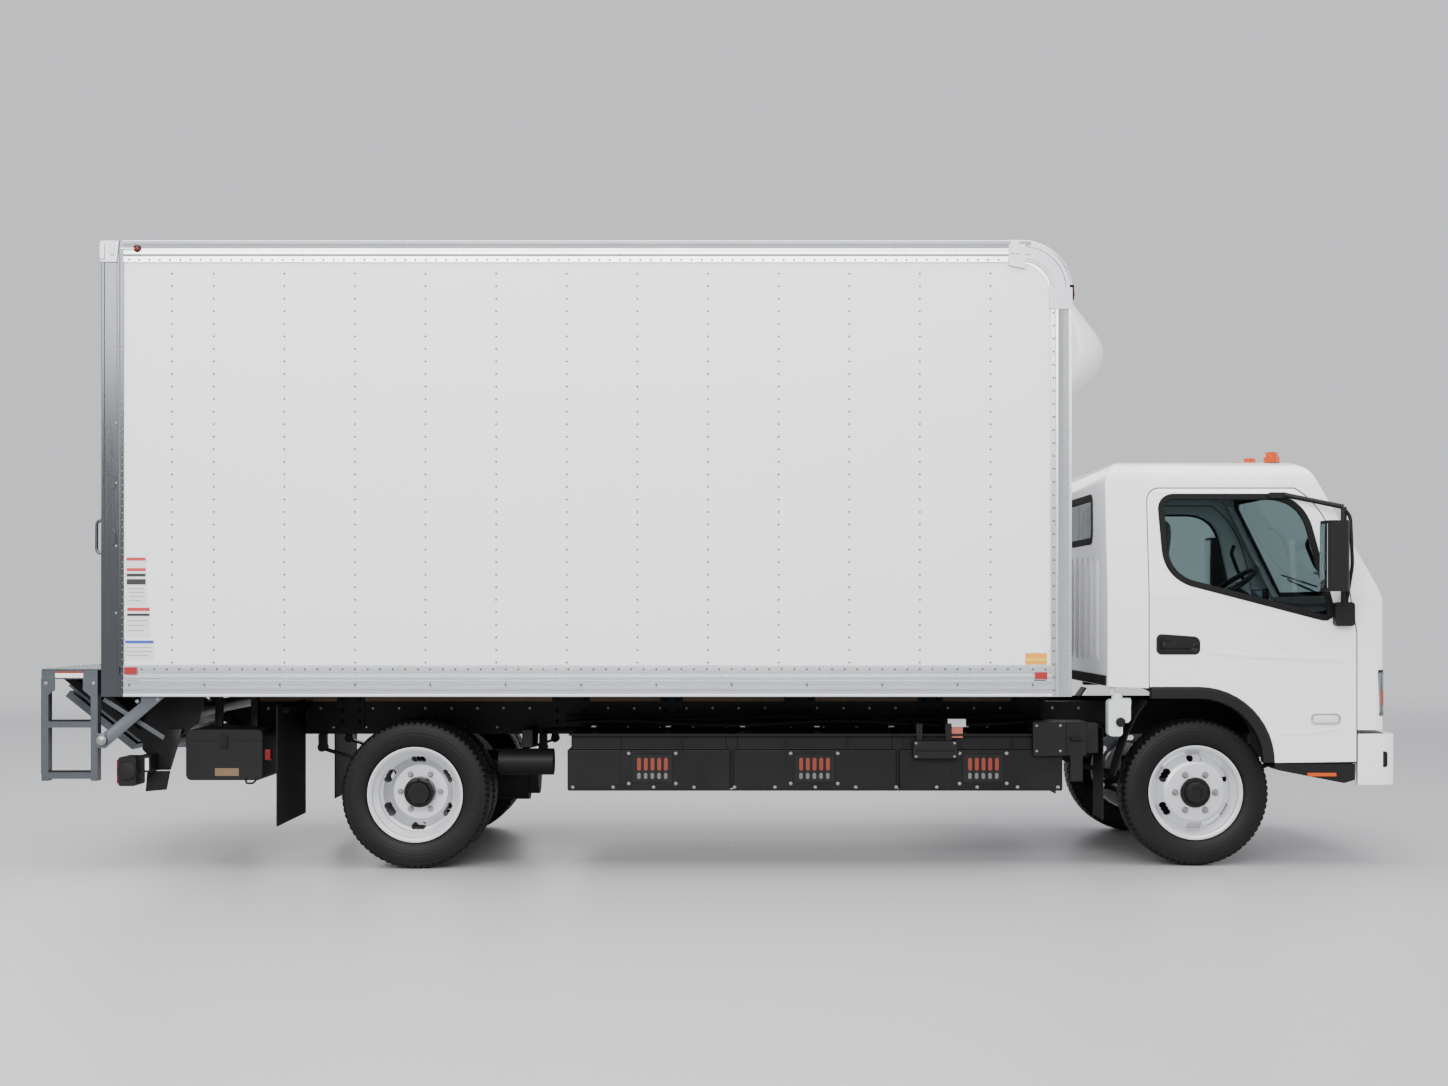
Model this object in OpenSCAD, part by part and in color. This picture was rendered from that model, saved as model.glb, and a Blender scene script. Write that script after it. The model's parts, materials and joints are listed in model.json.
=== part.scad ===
// Box truck: cab-over battery truck with a smooth-sided van body, a rear step
// frame and a tuck-under lift gate.
// +X points forward, +Y to the truck's left, +Z up.  The origin is on the
// ground, on the centre line, half way along the truck.

/* [Wheels and axles] */
// Distance between the axles
wheelbase = 4300; // [3900:50:4700]
// Front axle ahead of the origin
front_axle_x = 2560; // [2540:5:2580]
// Outer radius of a tyre
tyre_r = 405.5; // [395:0.5:410]
// Width of a tyre
tyre_w = 225; // [205:5:235]
// Radius of the wheel's rim flange
rim_r = 261; // [255:1:266]
// Half of the front track
front_track_half = 832; // [820:1:840]
// Half of the rear track, to the middle of the twin wheels
rear_track_half = 825; // [815:1:835]
// Distance between the middles of two twin tyres
twin_spacing = 256; // [250:1:262]
// Radius of the wheel spindles
spindle_r = 30; // [24:1:36]
// Kingpin's distance from the centre line
kingpin_y = 745; // [738:1:752]
// Kingpin radius
kingpin_r = 18; // [14:1:20]
// Running clearance of pins and spindles in their bores
pin_gap = 0.05; // [0.02:0.01:0.1]

/* [Frame] */
// Height of a frame rail's top face
rail_top_z = 885; // [880:1:890]
// Depth of a frame rail
rail_h = 190; // [160:5:200]
// Width of a rail's flanges
rail_flange = 62; // [50:1:70]
// Thickness of the rail plate
rail_t = 8; // [6:1:10]
// Outer half width over the two rails
rail_y = 380; // [370:1:390]
// Front end of the rails
rail_front_x = 3500; // [3480:5:3510]
// Rear end of the rails
rail_rear_x = -2760; // [-2800:5:-2740]

/* [Box] */
// Rear face of the box
box_rear_x = -3400; // [-3420:5:-3390]
// Front face of the box
box_front_x = 1820; // [1780:5:1840]
// Half of the box's outer width
box_y = 1219; // [1200:1:1240]
// Underside of the box's side rails
box_bottom_z = 950; // [945:1:960]
// Top of the box
box_top_z = 3402; // [3250:2:3500]
// Top of the cargo floor
floor_top_z = 1107; // [1100:1:1112]
// Height of the bottom side rail
bottom_rail_h = 172; // [160:1:190]
// Height of the top side rail
top_rail_h = 115; // [100:1:125]
// Width of the rear posts, along the truck
rear_post_w = 121; // [100:1:140]
// Width of the front posts, along the truck
front_post_w = 113; // [100:1:130]
// Thickness of the side rails and posts
rail_wall = 44; // [40:1:50]
// Thickness of the side wall panels
wall_t = 32; // [24:1:36]
// Radius of the box's front top corners
corner_r = 262; // [230:1:280]
// Radius inside the corner casting
corner_inner_r = 190; // [160:1:210]
// How far the nose cone stands out of the box
nose_d = 345; // [300:5:360]

/* [Cab] */
// Rear wall of the cab
cab_rear_x = 2058; // [2050:1:2070]
// Front panel of the cab
cab_front_x = 3664; // [3655:1:3670]
// Half of the cab's width
cab_y = 1000; // [985:1:1010]
// Top of the cab roof
cab_top_z = 2255; // [2220:1:2300]
// Underside of the cab behind the doors
cab_sill_z = 996; // [990:1:1000]
// Thickness of the cab's walls
cab_wall = 50; // [40:1:55]
// Thickness of a door
door_t = 55; // [45:1:60]
// Gap round a door
door_gap = 6; // [5:0.5:8]
// Thickness of the window glass
glass_t = 6; // [5:1:8]
// Radius of the wheel arch edge
arch_r = 411; // [408:1:416]
// Width of the black arch flare
flare_w = 60; // [50:1:65]

/* [Lift gate] */
// Length of the lift arms between their pins
arm_len = 620; // [612:1:626]
// Lift arm pin behind the origin
lift_pin_x = -3215; // [-3225:1:-3210]
// Height of the lift arm pin
lift_pin_z = 665; // [660:1:670]
// Slope of the stowed lift arms
arm_angle = 38.6; // [38:0.1:39]
// Half width of the lift platform
platform_y = 850; // [780:5:860]
// Length of each platform section
section_l = 500; // [440:5:510]
// Thickness of each platform section
section_t = 40; // [30:1:42]

/* [Rear step] */
// Rearmost face of the step frames
step_rear_x = -3725; // [-3740:5:-3715]
// Lower end of the step frames
step_bottom_z = 496; // [480:1:510]

/* [Hidden] */
$fn = 64;
eps = 1;
rear_axle_x = front_axle_x - wheelbase;
axle_z = tyre_r;
rail_bottom_z = rail_top_z - rail_h;

// Points along an arc from angle a0 to a1, in n steps.
function arc(cx, cy, r, a0, a1, n) =
    [for (i = [0:n]) [cx + r * cos(a0 + (a1 - a0) * i / n), cy + r * sin(a0 + (a1 - a0) * i / n)]];

// Points along a curve from p to r that leaves and arrives towards q.
function bend(p, q, r, n) =
    [for (i = [0:n]) let(u = i / n) (1 - u) * (1 - u) * p + 2 * u * (1 - u) * q + u * u * r];

// An outline in X and Z, extruded from y0 to y1.
module xz(y0, y1) {
    translate([0, y1, 0]) rotate([90, 0, 0]) linear_extrude(y1 - y0) children();
}

// An outline in Y and Z, extruded from x0 to x1.
module yz(x0, x1) {
    translate([x0, 0, 0]) rotate([90, 0, 90]) linear_extrude(x1 - x0) children();
}

// A block between two corners.
module block(x0, x1, y0, y1, z0, z1) {
    translate([x0, y0, z0]) cube([x1 - x0, y1 - y0, z1 - z0]);
}

// A round bar along Y between y0 and y1.
module bar_y(x, z, r, y0, y1) {
    translate([x, y0, z]) rotate([-90, 0, 0]) cylinder(r = r, h = y1 - y0);
}

// A round bar along X between x0 and x1.
module bar_x(y, z, r, x0, x1) {
    translate([x0, y, z]) rotate([0, 90, 0]) cylinder(r = r, h = x1 - x0);
}

// A rectangle with rounded corners, between two corners.
module round_rect(x0, x1, z0, z1, r) {
    translate([x0 + r, z0]) square([x1 - x0 - 2 * r, z1 - z0]);
    translate([x0, z0 + r]) square([x1 - x0, z1 - z0 - 2 * r]);
    for (x = [x0 + r, x1 - r])
        for (z = [z0 + r, z1 - r])
            translate([x, z]) circle(r);
}

// Its children on both sides of the truck.
module both_sides() {
    children();
    mirror([0, 1, 0]) children();
}

// ---------------------------------------------------------------- frame

cross_x = [-2700, -1150, -300, 500, 1300, 2050, 3240];
cross_r = 45;
tilt_x = 3560;
tilt_z = 790;
tilt_r = 15;
lug_y = 300;
lug_t = 24;
lug_r = 34;

// One frame rail, a channel that opens to the middle.
module frame_rail() {
    difference() {
        block(rail_rear_x, rail_front_x, -rail_y, -rail_y + rail_flange, rail_bottom_z, rail_top_z);
        block(rail_rear_x - eps, rail_front_x + eps, -rail_y + rail_t, -rail_y + rail_flange + eps,
              rail_bottom_z + rail_t, rail_top_z - rail_t);
    }
}

// Cab pivot lug on a rail's front end, with its pin.
module pivot_lug() {
    xz(-lug_y - lug_t, -lug_y) {
        translate([tilt_x, tilt_z]) circle(lug_r);
        polygon([[rail_front_x - 90, rail_bottom_z + 30], [rail_front_x, rail_bottom_z + 30],
                 [tilt_x + lug_r * 0.7, tilt_z - lug_r * 0.7], [tilt_x, tilt_z + lug_r],
                 [rail_front_x - 90, tilt_z + lug_r]]);
    }
    bar_y(tilt_x, tilt_z, tilt_r, -lug_y, -lug_y + 60);
}

tow_x = 3560;
tow_y = 450;
tow_z = 600;
tow_hole_r = 22;
tow_t = 25;

// Flat tow eye beside the front of a rail, on a hanger bolted to the rail.
module tow_eye() {
    block(3440, rail_front_x, -rail_y - 16, -rail_y, tow_z, 820);
    difference() {
        translate([0, 0, tow_z]) linear_extrude(tow_t) {
            translate([tow_x, -tow_y]) circle(46);
            polygon([[3440, -rail_y - 12], [rail_front_x, -rail_y - 12], [tow_x + 42, -tow_y + 20],
                     [tow_x + 20, -tow_y - 40], [tow_x - 30, -tow_y - 36], [3440, -rail_y - 60]]);
        }
        translate([tow_x, -tow_y, tow_z - eps]) cylinder(r = tow_hole_r, h = tow_t + 2 * eps);
    }
}

module frame_rails() {
    color([0.07, 0.07, 0.075]) {
        both_sides() {
            frame_rail();
            pivot_lug();
            tow_eye();
        }
        for (x = cross_x)
            bar_y(x, rail_top_z - rail_h / 2, cross_r, -rail_y + rail_t, rail_y - rail_t);
    }
}

// ---------------------------------------------------------------- axles

eye_r = 38;
eye_h = 80;
ear_t = 30;
ear_gap = 4;
flange_y = kingpin_y + eye_r + 6;
flange_t = 20;
hub_y = front_track_half - 42;
spindle_end_y = front_track_half + 40;
arm_drop = 60;
steer_arm_x = -150;
tie_y = kingpin_y;
tie_z = axle_z - 90;
tie_r = 14;

module front_axle() {
    beam_z = axle_z - 75;
    color([0.09, 0.09, 0.09]) difference() {
        union() {
            yz(front_axle_x - 40, front_axle_x + 40)
                polygon([[-kingpin_y, axle_z + eye_h / 2 - 12], [-kingpin_y, axle_z - eye_h / 2 + 12],
                         [-700, axle_z - eye_h / 2 + 12],
                         [-560, beam_z - 45], [560, beam_z - 45],
                         [700, axle_z - eye_h / 2 + 12], [kingpin_y, axle_z - eye_h / 2 + 12],
                         [kingpin_y, axle_z + eye_h / 2 - 12], [560, beam_z + 45], [-560, beam_z + 45]]);
            for (y = [-kingpin_y, kingpin_y])
                translate([front_axle_x, y, axle_z - eye_h / 2]) cylinder(r = eye_r, h = eye_h);
        }
        for (y = [-kingpin_y, kingpin_y])
            translate([front_axle_x, y, axle_z - eye_h / 2 - eps])
                cylinder(r = kingpin_r + pin_gap, h = eye_h + 2 * eps);
        for (x = [front_axle_x - 40 - eps, front_axle_x + 14])
            block(x, x + 27, -540, 540, beam_z - 30, beam_z + 30);
    }
}

// Steering knuckle on the right: ears round the axle's eye, kingpin, spindle
// and a steering arm that reaches back to the tie rod.
module knuckle() {
    ear_z = axle_z + eye_h / 2 + ear_gap;
    color([0.2, 0.2, 0.21]) {
        for (z = [ear_z, 2 * axle_z - ear_z - ear_t]) {
            translate([front_axle_x, -kingpin_y, z]) cylinder(r = eye_r - 4, h = ear_t);
            block(front_axle_x - 30, front_axle_x + 30, -flange_y - flange_t, -kingpin_y, z, z + ear_t);
        }
        translate([front_axle_x, -kingpin_y, 2 * axle_z - ear_z - ear_t])
            cylinder(r = kingpin_r, h = 2 * (ear_z + ear_t - axle_z));
        block(front_axle_x - 45, front_axle_x + 45, -flange_y - flange_t, -flange_y,
              2 * axle_z - ear_z - ear_t, ear_z + ear_t);
        bar_y(front_axle_x, axle_z, spindle_r, -spindle_end_y, -flange_y);
        difference() {
            union() {
                xz(-kingpin_y - 12, -kingpin_y + 12)
                    polygon([[front_axle_x, tie_z - 10], [front_axle_x, tie_z + 16],
                             [front_axle_x + steer_arm_x, tie_z + 16],
                             [front_axle_x + steer_arm_x, tie_z - 10]]);
                block(front_axle_x + steer_arm_x - 26, front_axle_x + steer_arm_x + 26,
                      -kingpin_y - 12, -tie_y + 26, tie_z - 10, tie_z + 16);
            }
            translate([front_axle_x + steer_arm_x, -tie_y, tie_z - 10 - eps])
                cylinder(r = 10 + pin_gap, h = 26 + 2 * eps);
        }
        translate([front_axle_x, -kingpin_y, tie_z - 10]) cylinder(r = 30, h = 2 * axle_z - ear_z - ear_t - tie_z + 10);
    }
}

module tie_rod() {
    color([0.12, 0.12, 0.12]) {
        bar_y(front_axle_x + steer_arm_x, tie_z - 30, tie_r, -tie_y, tie_y);
        for (y = [-tie_y, tie_y]) {
            translate([front_axle_x + steer_arm_x, y, tie_z - 46]) cylinder(r = 22, h = 32);
            translate([front_axle_x + steer_arm_x, y, tie_z - 20]) cylinder(r = 10, h = 42);
        }
    }
}

axle_tube_r = 62;
rear_tube_y = rear_track_half - twin_spacing / 2 - tyre_w / 2 - 20;
rear_hub_in_y = rear_track_half - 60;
rear_spindle_end_y = rear_track_half + 70;

module rear_axle() {
    color([0.1, 0.1, 0.1]) {
        bar_y(rear_axle_x, axle_z, axle_tube_r, -rear_tube_y, rear_tube_y);
        bar_y(rear_axle_x, axle_z, spindle_r, -rear_spindle_end_y, rear_spindle_end_y);
        bar_y(rear_axle_x, axle_z, 175, -150, 150);
        bar_y(rear_axle_x, axle_z, 130, -210, 210);
        bar_x(40, axle_z + 20, 150, rear_axle_x + 60, rear_axle_x + 520);
        bar_x(40, axle_z + 20, 115, rear_axle_x + 500, rear_axle_x + 580);
    }
}

spring_y = 395;
spring_w = 70;

// A leaf spring: three arched leaves, with an eye at each end.
module leaf_spring(x, half_l, rise, z_top) {
    r = (half_l * half_l + rise * rise) / (2 * rise);
    a = asin(half_l / r);
    leaf_t = 14;
    xz(-spring_y - spring_w / 2, -spring_y + spring_w / 2) {
        for (i = [0:2]) {
            ai = a * (1 - 0.27 * i);
            polygon(concat(arc(x, z_top + r - rise, r + leaf_t * i, 270 - ai, 270 + ai, 12),
                           arc(x, z_top + r - rise, r + leaf_t * (i + 1), 270 + ai, 270 - ai, 12)));
        }
        translate([x - half_l, z_top]) circle(26);
        translate([x + half_l, z_top]) circle(26);
    }
    for (s = [-1, 1])
        block(x + s * half_l - 22, x + s * half_l + 22, -spring_y - 30, -spring_y + 30,
              z_top, rail_bottom_z);
}

module leaf_springs() {
    color([0.12, 0.12, 0.12]) both_sides() {
        difference() {
            union() {
                leaf_spring(front_axle_x, 620, 150, axle_z + 154.5);
                block(front_axle_x - 50, front_axle_x + 50, -spring_y - 45, -spring_y + 45, axle_z - 30, axle_z + 14.5);
            }
            block(front_axle_x - 60, front_axle_x + 60, -600, 600, axle_z - 200, axle_z - 30);
        }
        leaf_spring(rear_axle_x, 640, 110, axle_z + 214.5);
        difference() {
            block(rear_axle_x - 60, rear_axle_x + 60, -spring_y - 45, -spring_y + 45, axle_z + 30, axle_z + 114.5);
            bar_y(rear_axle_x, axle_z, axle_tube_r, -600, 600);
        }
    }
}

// ---------------------------------------------------------------- wheels

// Half section of a tyre about its own middle: bead, side wall, shoulder, tread.
function tyre_half(r, w, bead) = concat(
    [[bead, 0.345 * w], [bead + 12, 0.375 * w]],
    bend([bead + 25, 0.455 * w], [0.62 * bead + 0.38 * r + 10, 0.5 * w + 6], [r - 52, 0.485 * w], 6),
    bend([r - 30, 0.46 * w], [r - 6, 0.45 * w], [r - 3, 0.36 * w], 4),
    [[r, 0.2 * w]]);

module tyre(y) {
    half = tyre_half(tyre_r, tyre_w, rim_r - 13);
    other = [for (i = [len(half) - 1:-1:0]) [half[i][0], -half[i][1]]];
    inner_r = rim_r - 13;
    translate([0, y, 0]) rotate([90, 0, 0]) rotate_extrude($fn = 96)
        polygon(concat(half, other, [[inner_r, -0.3 * tyre_w], [inner_r + 22, -0.22 * tyre_w],
                                     [inner_r + 22, 0.22 * tyre_w], [inner_r, 0.3 * tyre_w]]));
}

module front_tyre() {
    color([0.03, 0.03, 0.03]) translate([front_axle_x, 0, axle_z]) tyre(-front_track_half);
}

module rear_tyres() {
    color([0.03, 0.03, 0.03]) translate([rear_axle_x, 0, axle_z])
        for (s = [-1, 1]) tyre(-rear_track_half + s * twin_spacing / 2);
}

rim_t = 9;
well_r = rim_r - 42;

// Section of the steel rim barrel, about the tyre's middle; w is positive outwards.
module rim_barrel() {
    h = 0.37 * tyre_w;
    seat = rim_r - 13 - 0.5;
    rotate_extrude($fn = 96) polygon([
        [rim_r, -h - 12], [rim_r, -h - 4], [seat, -h + 4], [seat, -0.2 * tyre_w],
        [well_r + 4, -0.08 * tyre_w], [well_r + 4, 0.1 * tyre_w], [seat, 0.22 * tyre_w],
        [seat, h - 4], [rim_r, h + 4], [rim_r, h + 12], [rim_r - rim_t, h + 12],
        [seat - rim_t, h + 2], [seat - rim_t, 0.24 * tyre_w], [well_r - rim_t, 0.12 * tyre_w],
        [well_r - rim_t, -0.1 * tyre_w], [seat - rim_t, -0.22 * tyre_w], [seat - rim_t, -h - 2],
        [rim_r - rim_t, -h - 12]]);
}

hole_ring_r = 186;
hand_hole_r = 18;
disc_t = 11;

// Wheel disc: a cone that rises by dome from the barrel to the flat bolt face.
module wheel_disc(base, dome, bore_r) {
    edge = well_r - rim_t + 1;
    difference() {
        rotate_extrude($fn = 96) polygon([
            [bore_r, base + dome], [156, base + dome], [172, base + 0.84 * dome],
            [edge - 8, base + 0.1 * dome], [edge, base], [edge, base - disc_t],
            [edge - 17, base], [164, base + 0.8 * dome - disc_t], [150, base + dome - disc_t],
            [bore_r, base + dome - disc_t]]);
        for (a = [0:60:300])
            for (k = [-7, 0, 7])
                rotate(a + 30 + k) translate([hole_ring_r, 0, base - 20]) cylinder(r = hand_hole_r, h = dome + 40);
    }
}

// Hub: a drum behind the disc and a cap in front of it, bored for the spindle.
module hub(back, face, cap, r_back) {
    difference() {
        union() {
            translate([0, 0, back]) cylinder(r = r_back, h = face - back);
            translate([0, 0, face - eps]) cylinder(r = 78, h = cap - face - 18);
            translate([0, 0, face - eps]) cylinder(r = 56, h = cap - face);
        }
        translate([0, 0, back - eps]) cylinder(r = spindle_r + pin_gap, h = cap - back - 12);
    }
}

front_disc_base = 20;
front_dome = 58;
rear_disc_base = 18;
rear_dome = 98;

module front_wheel() {
    color([0.75, 0.76, 0.78]) translate([front_axle_x, -front_track_half, axle_z]) rotate([90, 0, 0]) {
        rim_barrel();
        wheel_disc(front_disc_base, front_dome, 82);
        hub(-8, front_disc_base + front_dome - disc_t, front_disc_base + front_dome + 34, 150);
    }
}

module rear_wheels() {
    off = twin_spacing / 2;
    color([0.75, 0.76, 0.78]) translate([rear_axle_x, -rear_track_half, axle_z]) rotate([90, 0, 0]) {
        translate([0, 0, off]) rim_barrel();
        translate([0, 0, -off]) rim_barrel();
        translate([0, 0, off]) mirror([0, 0, 1]) wheel_disc(rear_disc_base, rear_dome, 82);
        translate([0, 0, -off]) wheel_disc(rear_disc_base, rear_dome, 82);
        hub(-90, 12, 112, 150);
    }
}

// ---------------------------------------------------------------- under the frame

pack_l = 900;
pack_pitch = 917;
pack_rear_x = -915;
pack_y = 950;
pack_z0 = 419;
pack_z1 = 645;
pack_shelf_z = 733;
pack_side_in = 440;

module battery_packs() {
    color([0.05, 0.05, 0.055]) for (i = [0:2]) {
        x = pack_rear_x + i * pack_pitch;
        block(x, x + pack_l, -pack_y, pack_y, pack_z0, pack_z1);
        both_sides() {
            block(x + 20, x + pack_l - 20, -pack_y + 20, -pack_side_in, pack_z1, pack_shelf_z);
            block(x + 60, x + 120, -pack_side_in - 30, -rail_y, pack_z1, pack_shelf_z);
            block(x + pack_l - 120, x + pack_l - 60, -pack_side_in - 30, -rail_y, pack_z1, pack_shelf_z);
        }
    }
}

module service_boxes() {
    color([0.06, 0.06, 0.06]) {
        block(989, 1232, -1005, -953, 600, 697);
        for (x = [1010, 1170]) {
            block(x, x + 35, -965, -953, 697, 790);
            block(x, x + 35, -953, -rail_y, 745, 790);
        }
        block(1830, 1950, -960, -760, 613, 800);
        block(1650, 1830, -960, -760, 738, 800);
        block(1650, 1830, -985, -953, 613, 800);
        block(1700, 1760, -760, -rail_y, 745, 790);
        block(1950, 2020, -930, -800, 625, 790);
        bar_y(2010, 640, 70, -560, -rail_y - 60);
        block(1980, 2040, -rail_y - 60, -rail_y, 655, 740);
        block(1860, 1930, -960, -930, 470, 613);
        bar_x(-700, 560, 75, -1320, -1010);
        block(-1190, -1130, -720, -rail_y, 640, 740);
    }
}

tank_x0 = 2056;
tank_x1 = 2188;

module washer_tank() {
    color([0.9, 0.92, 0.92]) {
        xz(-985, -905) {
            round_rect(tank_x0 + 10, tank_x1, 795, 925, 26);
            round_rect(tank_x0 + 10, tank_x1 - 44, 722, 840, 20);
        }
        bar_x(-945, 905, 26, tank_x0 + 60, tank_x1 + 5);
        translate([2120, -950, 900]) cylinder(r = 30, h = 58);
    }
}

guard_t = 8;

// Splash guard behind a front wheel, and mud flaps.
module mud_guards() {
    color([0.05, 0.05, 0.05]) both_sides() {
        xz(-965, -790) polygon([[2285, 912], [2228, 830], [2178, 720], [2108, 500],
                                [2108 - guard_t, 500], [2178 - guard_t, 723], [2220, 834], [2280, 919]]);
        block(2094, 2100, -900, -rail_y, 720, 770);
        block(2050, 2056, -900, -620, 250, 760);
        block(2056, 2120, -640, -rail_y, 730, 770);
        block(-2482, -2474, -1120, -420, 240, 900);
        block(-2474, -2440, -1000, -rail_y, 850, 884);
    }
}

// ---------------------------------------------------------------- bumper

bumper_x = 3725;
bumper_y = 1000;
bumper_z0 = 455;
bumper_z1 = 735;
bumper_t = 40;
bumper_side_x = 3434;

// Plan outline of the front end: flat sides, a bowed front, rounded corners.
module front_plan(x_front, half_w, x_back, r) {
    bow = 5500;
    intersection() {
        translate([x_front - bow, 0]) circle(bow, $fn = 360);
        union() {
            translate([x_back, -half_w]) square([x_front - 40 - r - x_back, 2 * half_w]);
            translate([x_back, -half_w + r]) square([x_front - x_back + 10, 2 * (half_w - r)]);
            for (s = [-1, 1]) translate([x_front - 40 - r, s * (half_w - r)]) circle(r);
        }
    }
}

module front_bumper() {
    color([0.93, 0.93, 0.93]) {
        difference() {
            translate([0, 0, bumper_z0]) linear_extrude(bumper_z1 - bumper_z0)
                front_plan(bumper_x, bumper_y, bumper_side_x, 130);
            translate([0, 0, bumper_z0 - eps]) linear_extrude(bumper_z1 - bumper_z0 + 2 * eps)
                front_plan(bumper_x - bumper_t, bumper_y - bumper_t, bumper_side_x - 10, 90);
        }
        both_sides() block(rail_front_x, bumper_x - bumper_t - 30, -rail_y, -rail_y + 30, 560, 640);
        block(bumper_x - bumper_t - 60, bumper_x - bumper_t - 30, -860, 860, 560, 640);
        both_sides() block(bumper_x - bumper_t - 130, bumper_x - bumper_t - 60, -860, -820, 560, 640);
        both_sides() block(bumper_x - bumper_t - 30, bumper_x - bumper_t + 5, -500, -420, 560, 640);
        both_sides() block(rail_front_x, rail_front_x + 12, -rail_y, -rail_y + 54, 560, rail_top_z - 40);
    }
}

// ---------------------------------------------------------------- rear underside

module pump_box() {
    color([0.05, 0.05, 0.05]) {
        xz(-1060, -640) round_rect(-2990, -2570, 486, 763, 30);
        block(-2900, -2860, -800, -760, 763, 949);
        block(-2700, -2660, -800, -760, 763, 949);
    }
}

arm_y = platform_y + 25;
arm_t = 30;
arm_w = 50;
lift_pin_r = 14;
plate_y = arm_y + arm_t + 6;

// Fixed frame of the lift gate: hanger plates, cross tube, bars and lamp brackets.
module lift_mainframe() {
    color([0.06, 0.06, 0.06]) {
        both_sides() {
            xz(-plate_y - 12, -plate_y)
                polygon([[lift_pin_x - 55, lift_pin_z - 20], [lift_pin_x - 30, lift_pin_z - 45],
                         [lift_pin_x + 30, lift_pin_z - 45], [-2960, 790], [-2930, 900],
                         [-2930, box_bottom_z - 1], [-3200, box_bottom_z - 1], [lift_pin_x - 40, 800]]);
            bar_y(lift_pin_x, lift_pin_z, lift_pin_r, -plate_y, -arm_y + 4);
            xz(-1100, -plate_y - 12) polygon([[-3230, 533], [-3170, 533], [-3170, 626], [-3230, 626]]);
            xz(-plate_y - 40, -plate_y - 12) polygon([[-3225, 533], [-3110, 533], [-3040, 760], [-3120, 760]]);
            xz(-1012, -1000) polygon([[-3225, 420], [-3110, 430], [-3090, 533], [-3215, 533]]);
        }
        bar_y(-2985, 860, 40, -plate_y, plate_y);
    }
}

module tail_lamps() {
    color([0.05, 0.05, 0.05]) both_sides() {
        xz(-1150, -985) round_rect(-3331, -3235, 462, 620, 14);
        block(-3235, -3230, -1100, -1000, 540, 620);
    }
}

post_w = 38;
step_y = box_y - 69;
step_d = 60;
step_front_x = -3422;
dock_z = 1100;
plate_t = 8;
rung_z = [[783, 818], [507, 544]];
rear_pin_z = 716;

// A galvanised ladder frame behind each rear post, with its brace.
module step_frames() {
    y0 = -step_y - step_d;
    y1 = -step_y;
    color([0.55, 0.57, 0.58]) both_sides() {
        block(step_rear_x, step_rear_x + post_w, y0, y1, step_bottom_z, dock_z - plate_t);
        block(step_front_x - post_w, step_front_x, y0, y1, step_bottom_z, dock_z - plate_t);
        for (z = rung_z) block(step_rear_x + post_w, step_front_x - post_w, y0, y1, z[0], z[1]);
        xz(y0, y0 + 8) polygon([[step_rear_x + post_w, dock_z - plate_t], [step_rear_x + post_w, 960],
                                [step_rear_x + 72, 985], [step_rear_x + 72, 1045], [step_front_x - 80, 1045],
                                [step_front_x - 80, 985], [step_front_x - post_w, 950],
                                [step_front_x - post_w, dock_z - plate_t]]);
        xz(y0 - 6, y0 + 2) polygon([[step_front_x - 10, 672], [step_front_x - 10, 752], [step_front_x + 46, 752],
                                    [step_front_x + 46, 672]]);
        xz(y0 + 2, y0 + 10) polygon([[step_front_x + 4, 676], [step_front_x - 4, 726], [-3190, 920], [-3190, 949],
                                     [-3060, 949], [step_front_x + 40, 672]]);
        bar_y(step_front_x + 26, rear_pin_z, 12, y0 - 16, y0 + 14);
    }
}

module dock_plate() {
    color([0.5, 0.52, 0.53]) {
        block(step_rear_x, box_rear_x, -box_y + 10, box_y - 10, dock_z - plate_t, dock_z);
        both_sides() block(step_rear_x + 20, box_rear_x, -box_y + 130, -plate_y - 30, dock_z - 60, dock_z - plate_t);
        block(box_rear_x - 60, box_rear_x, -plate_y - 20, plate_y + 20, dock_z - 30, dock_z - plate_t);
    }
}

// ---------------------------------------------------------------- box

in_y = box_y - rail_wall;
hold_rear_x = box_rear_x + rear_post_w;
hold_front_x = box_front_x - rail_wall;
post_front_x = box_front_x - front_post_w;
wall_z0 = box_bottom_z + bottom_rail_h;
wall_z1 = box_top_z - top_rail_h;
roof_t = 32;

// Side outline of the box between two heights, its front top corner rounded.
module box_outline(x0, x1, z0, z1, r) {
    translate([x0, z0]) square([x1 - x0, z1 - z0 - r]);
    translate([x0, z0]) square([x1 - x0 - r, z1 - z0]);
    translate([x1 - r, z1 - r]) circle(r, $fn = 96);
}

module box_rails() {
    color([0.72, 0.73, 0.75]) both_sides() xz(-box_y, -in_y) difference() {
        box_outline(hold_rear_x, box_front_x, box_bottom_z, box_top_z, corner_r);
        box_outline(hold_rear_x - eps, post_front_x, wall_z0, wall_z1, corner_inner_r);
    }
}

module box_wall() {
    inset = (rail_wall - wall_t) / 2;
    color([0.93, 0.93, 0.94]) xz(-box_y + inset, -box_y + inset + wall_t)
        box_outline(hold_rear_x, post_front_x, wall_z0, wall_z1, corner_inner_r);
}

module box_wall_front() {
    color([0.93, 0.93, 0.94])
        block(hold_front_x, box_front_x, -in_y, in_y, box_bottom_z, box_top_z - corner_r);
}

module box_roof() {
    color([0.93, 0.93, 0.94]) {
        block(hold_rear_x, box_front_x - corner_r, -in_y, in_y, box_top_z - roof_t, box_top_z);
        xz(-in_y, in_y) intersection() {
            translate([box_front_x - corner_r, box_top_z - corner_r]) difference() {
                circle(corner_r, $fn = 96);
                circle(corner_r - roof_t, $fn = 96);
            }
            translate([box_front_x - corner_r, box_top_z - corner_r]) square(corner_r + 10);
        }
    }
}

deck_t = 45;
beam_pitch = 305;
beam_w = 45;
sill_w = 60;

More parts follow.
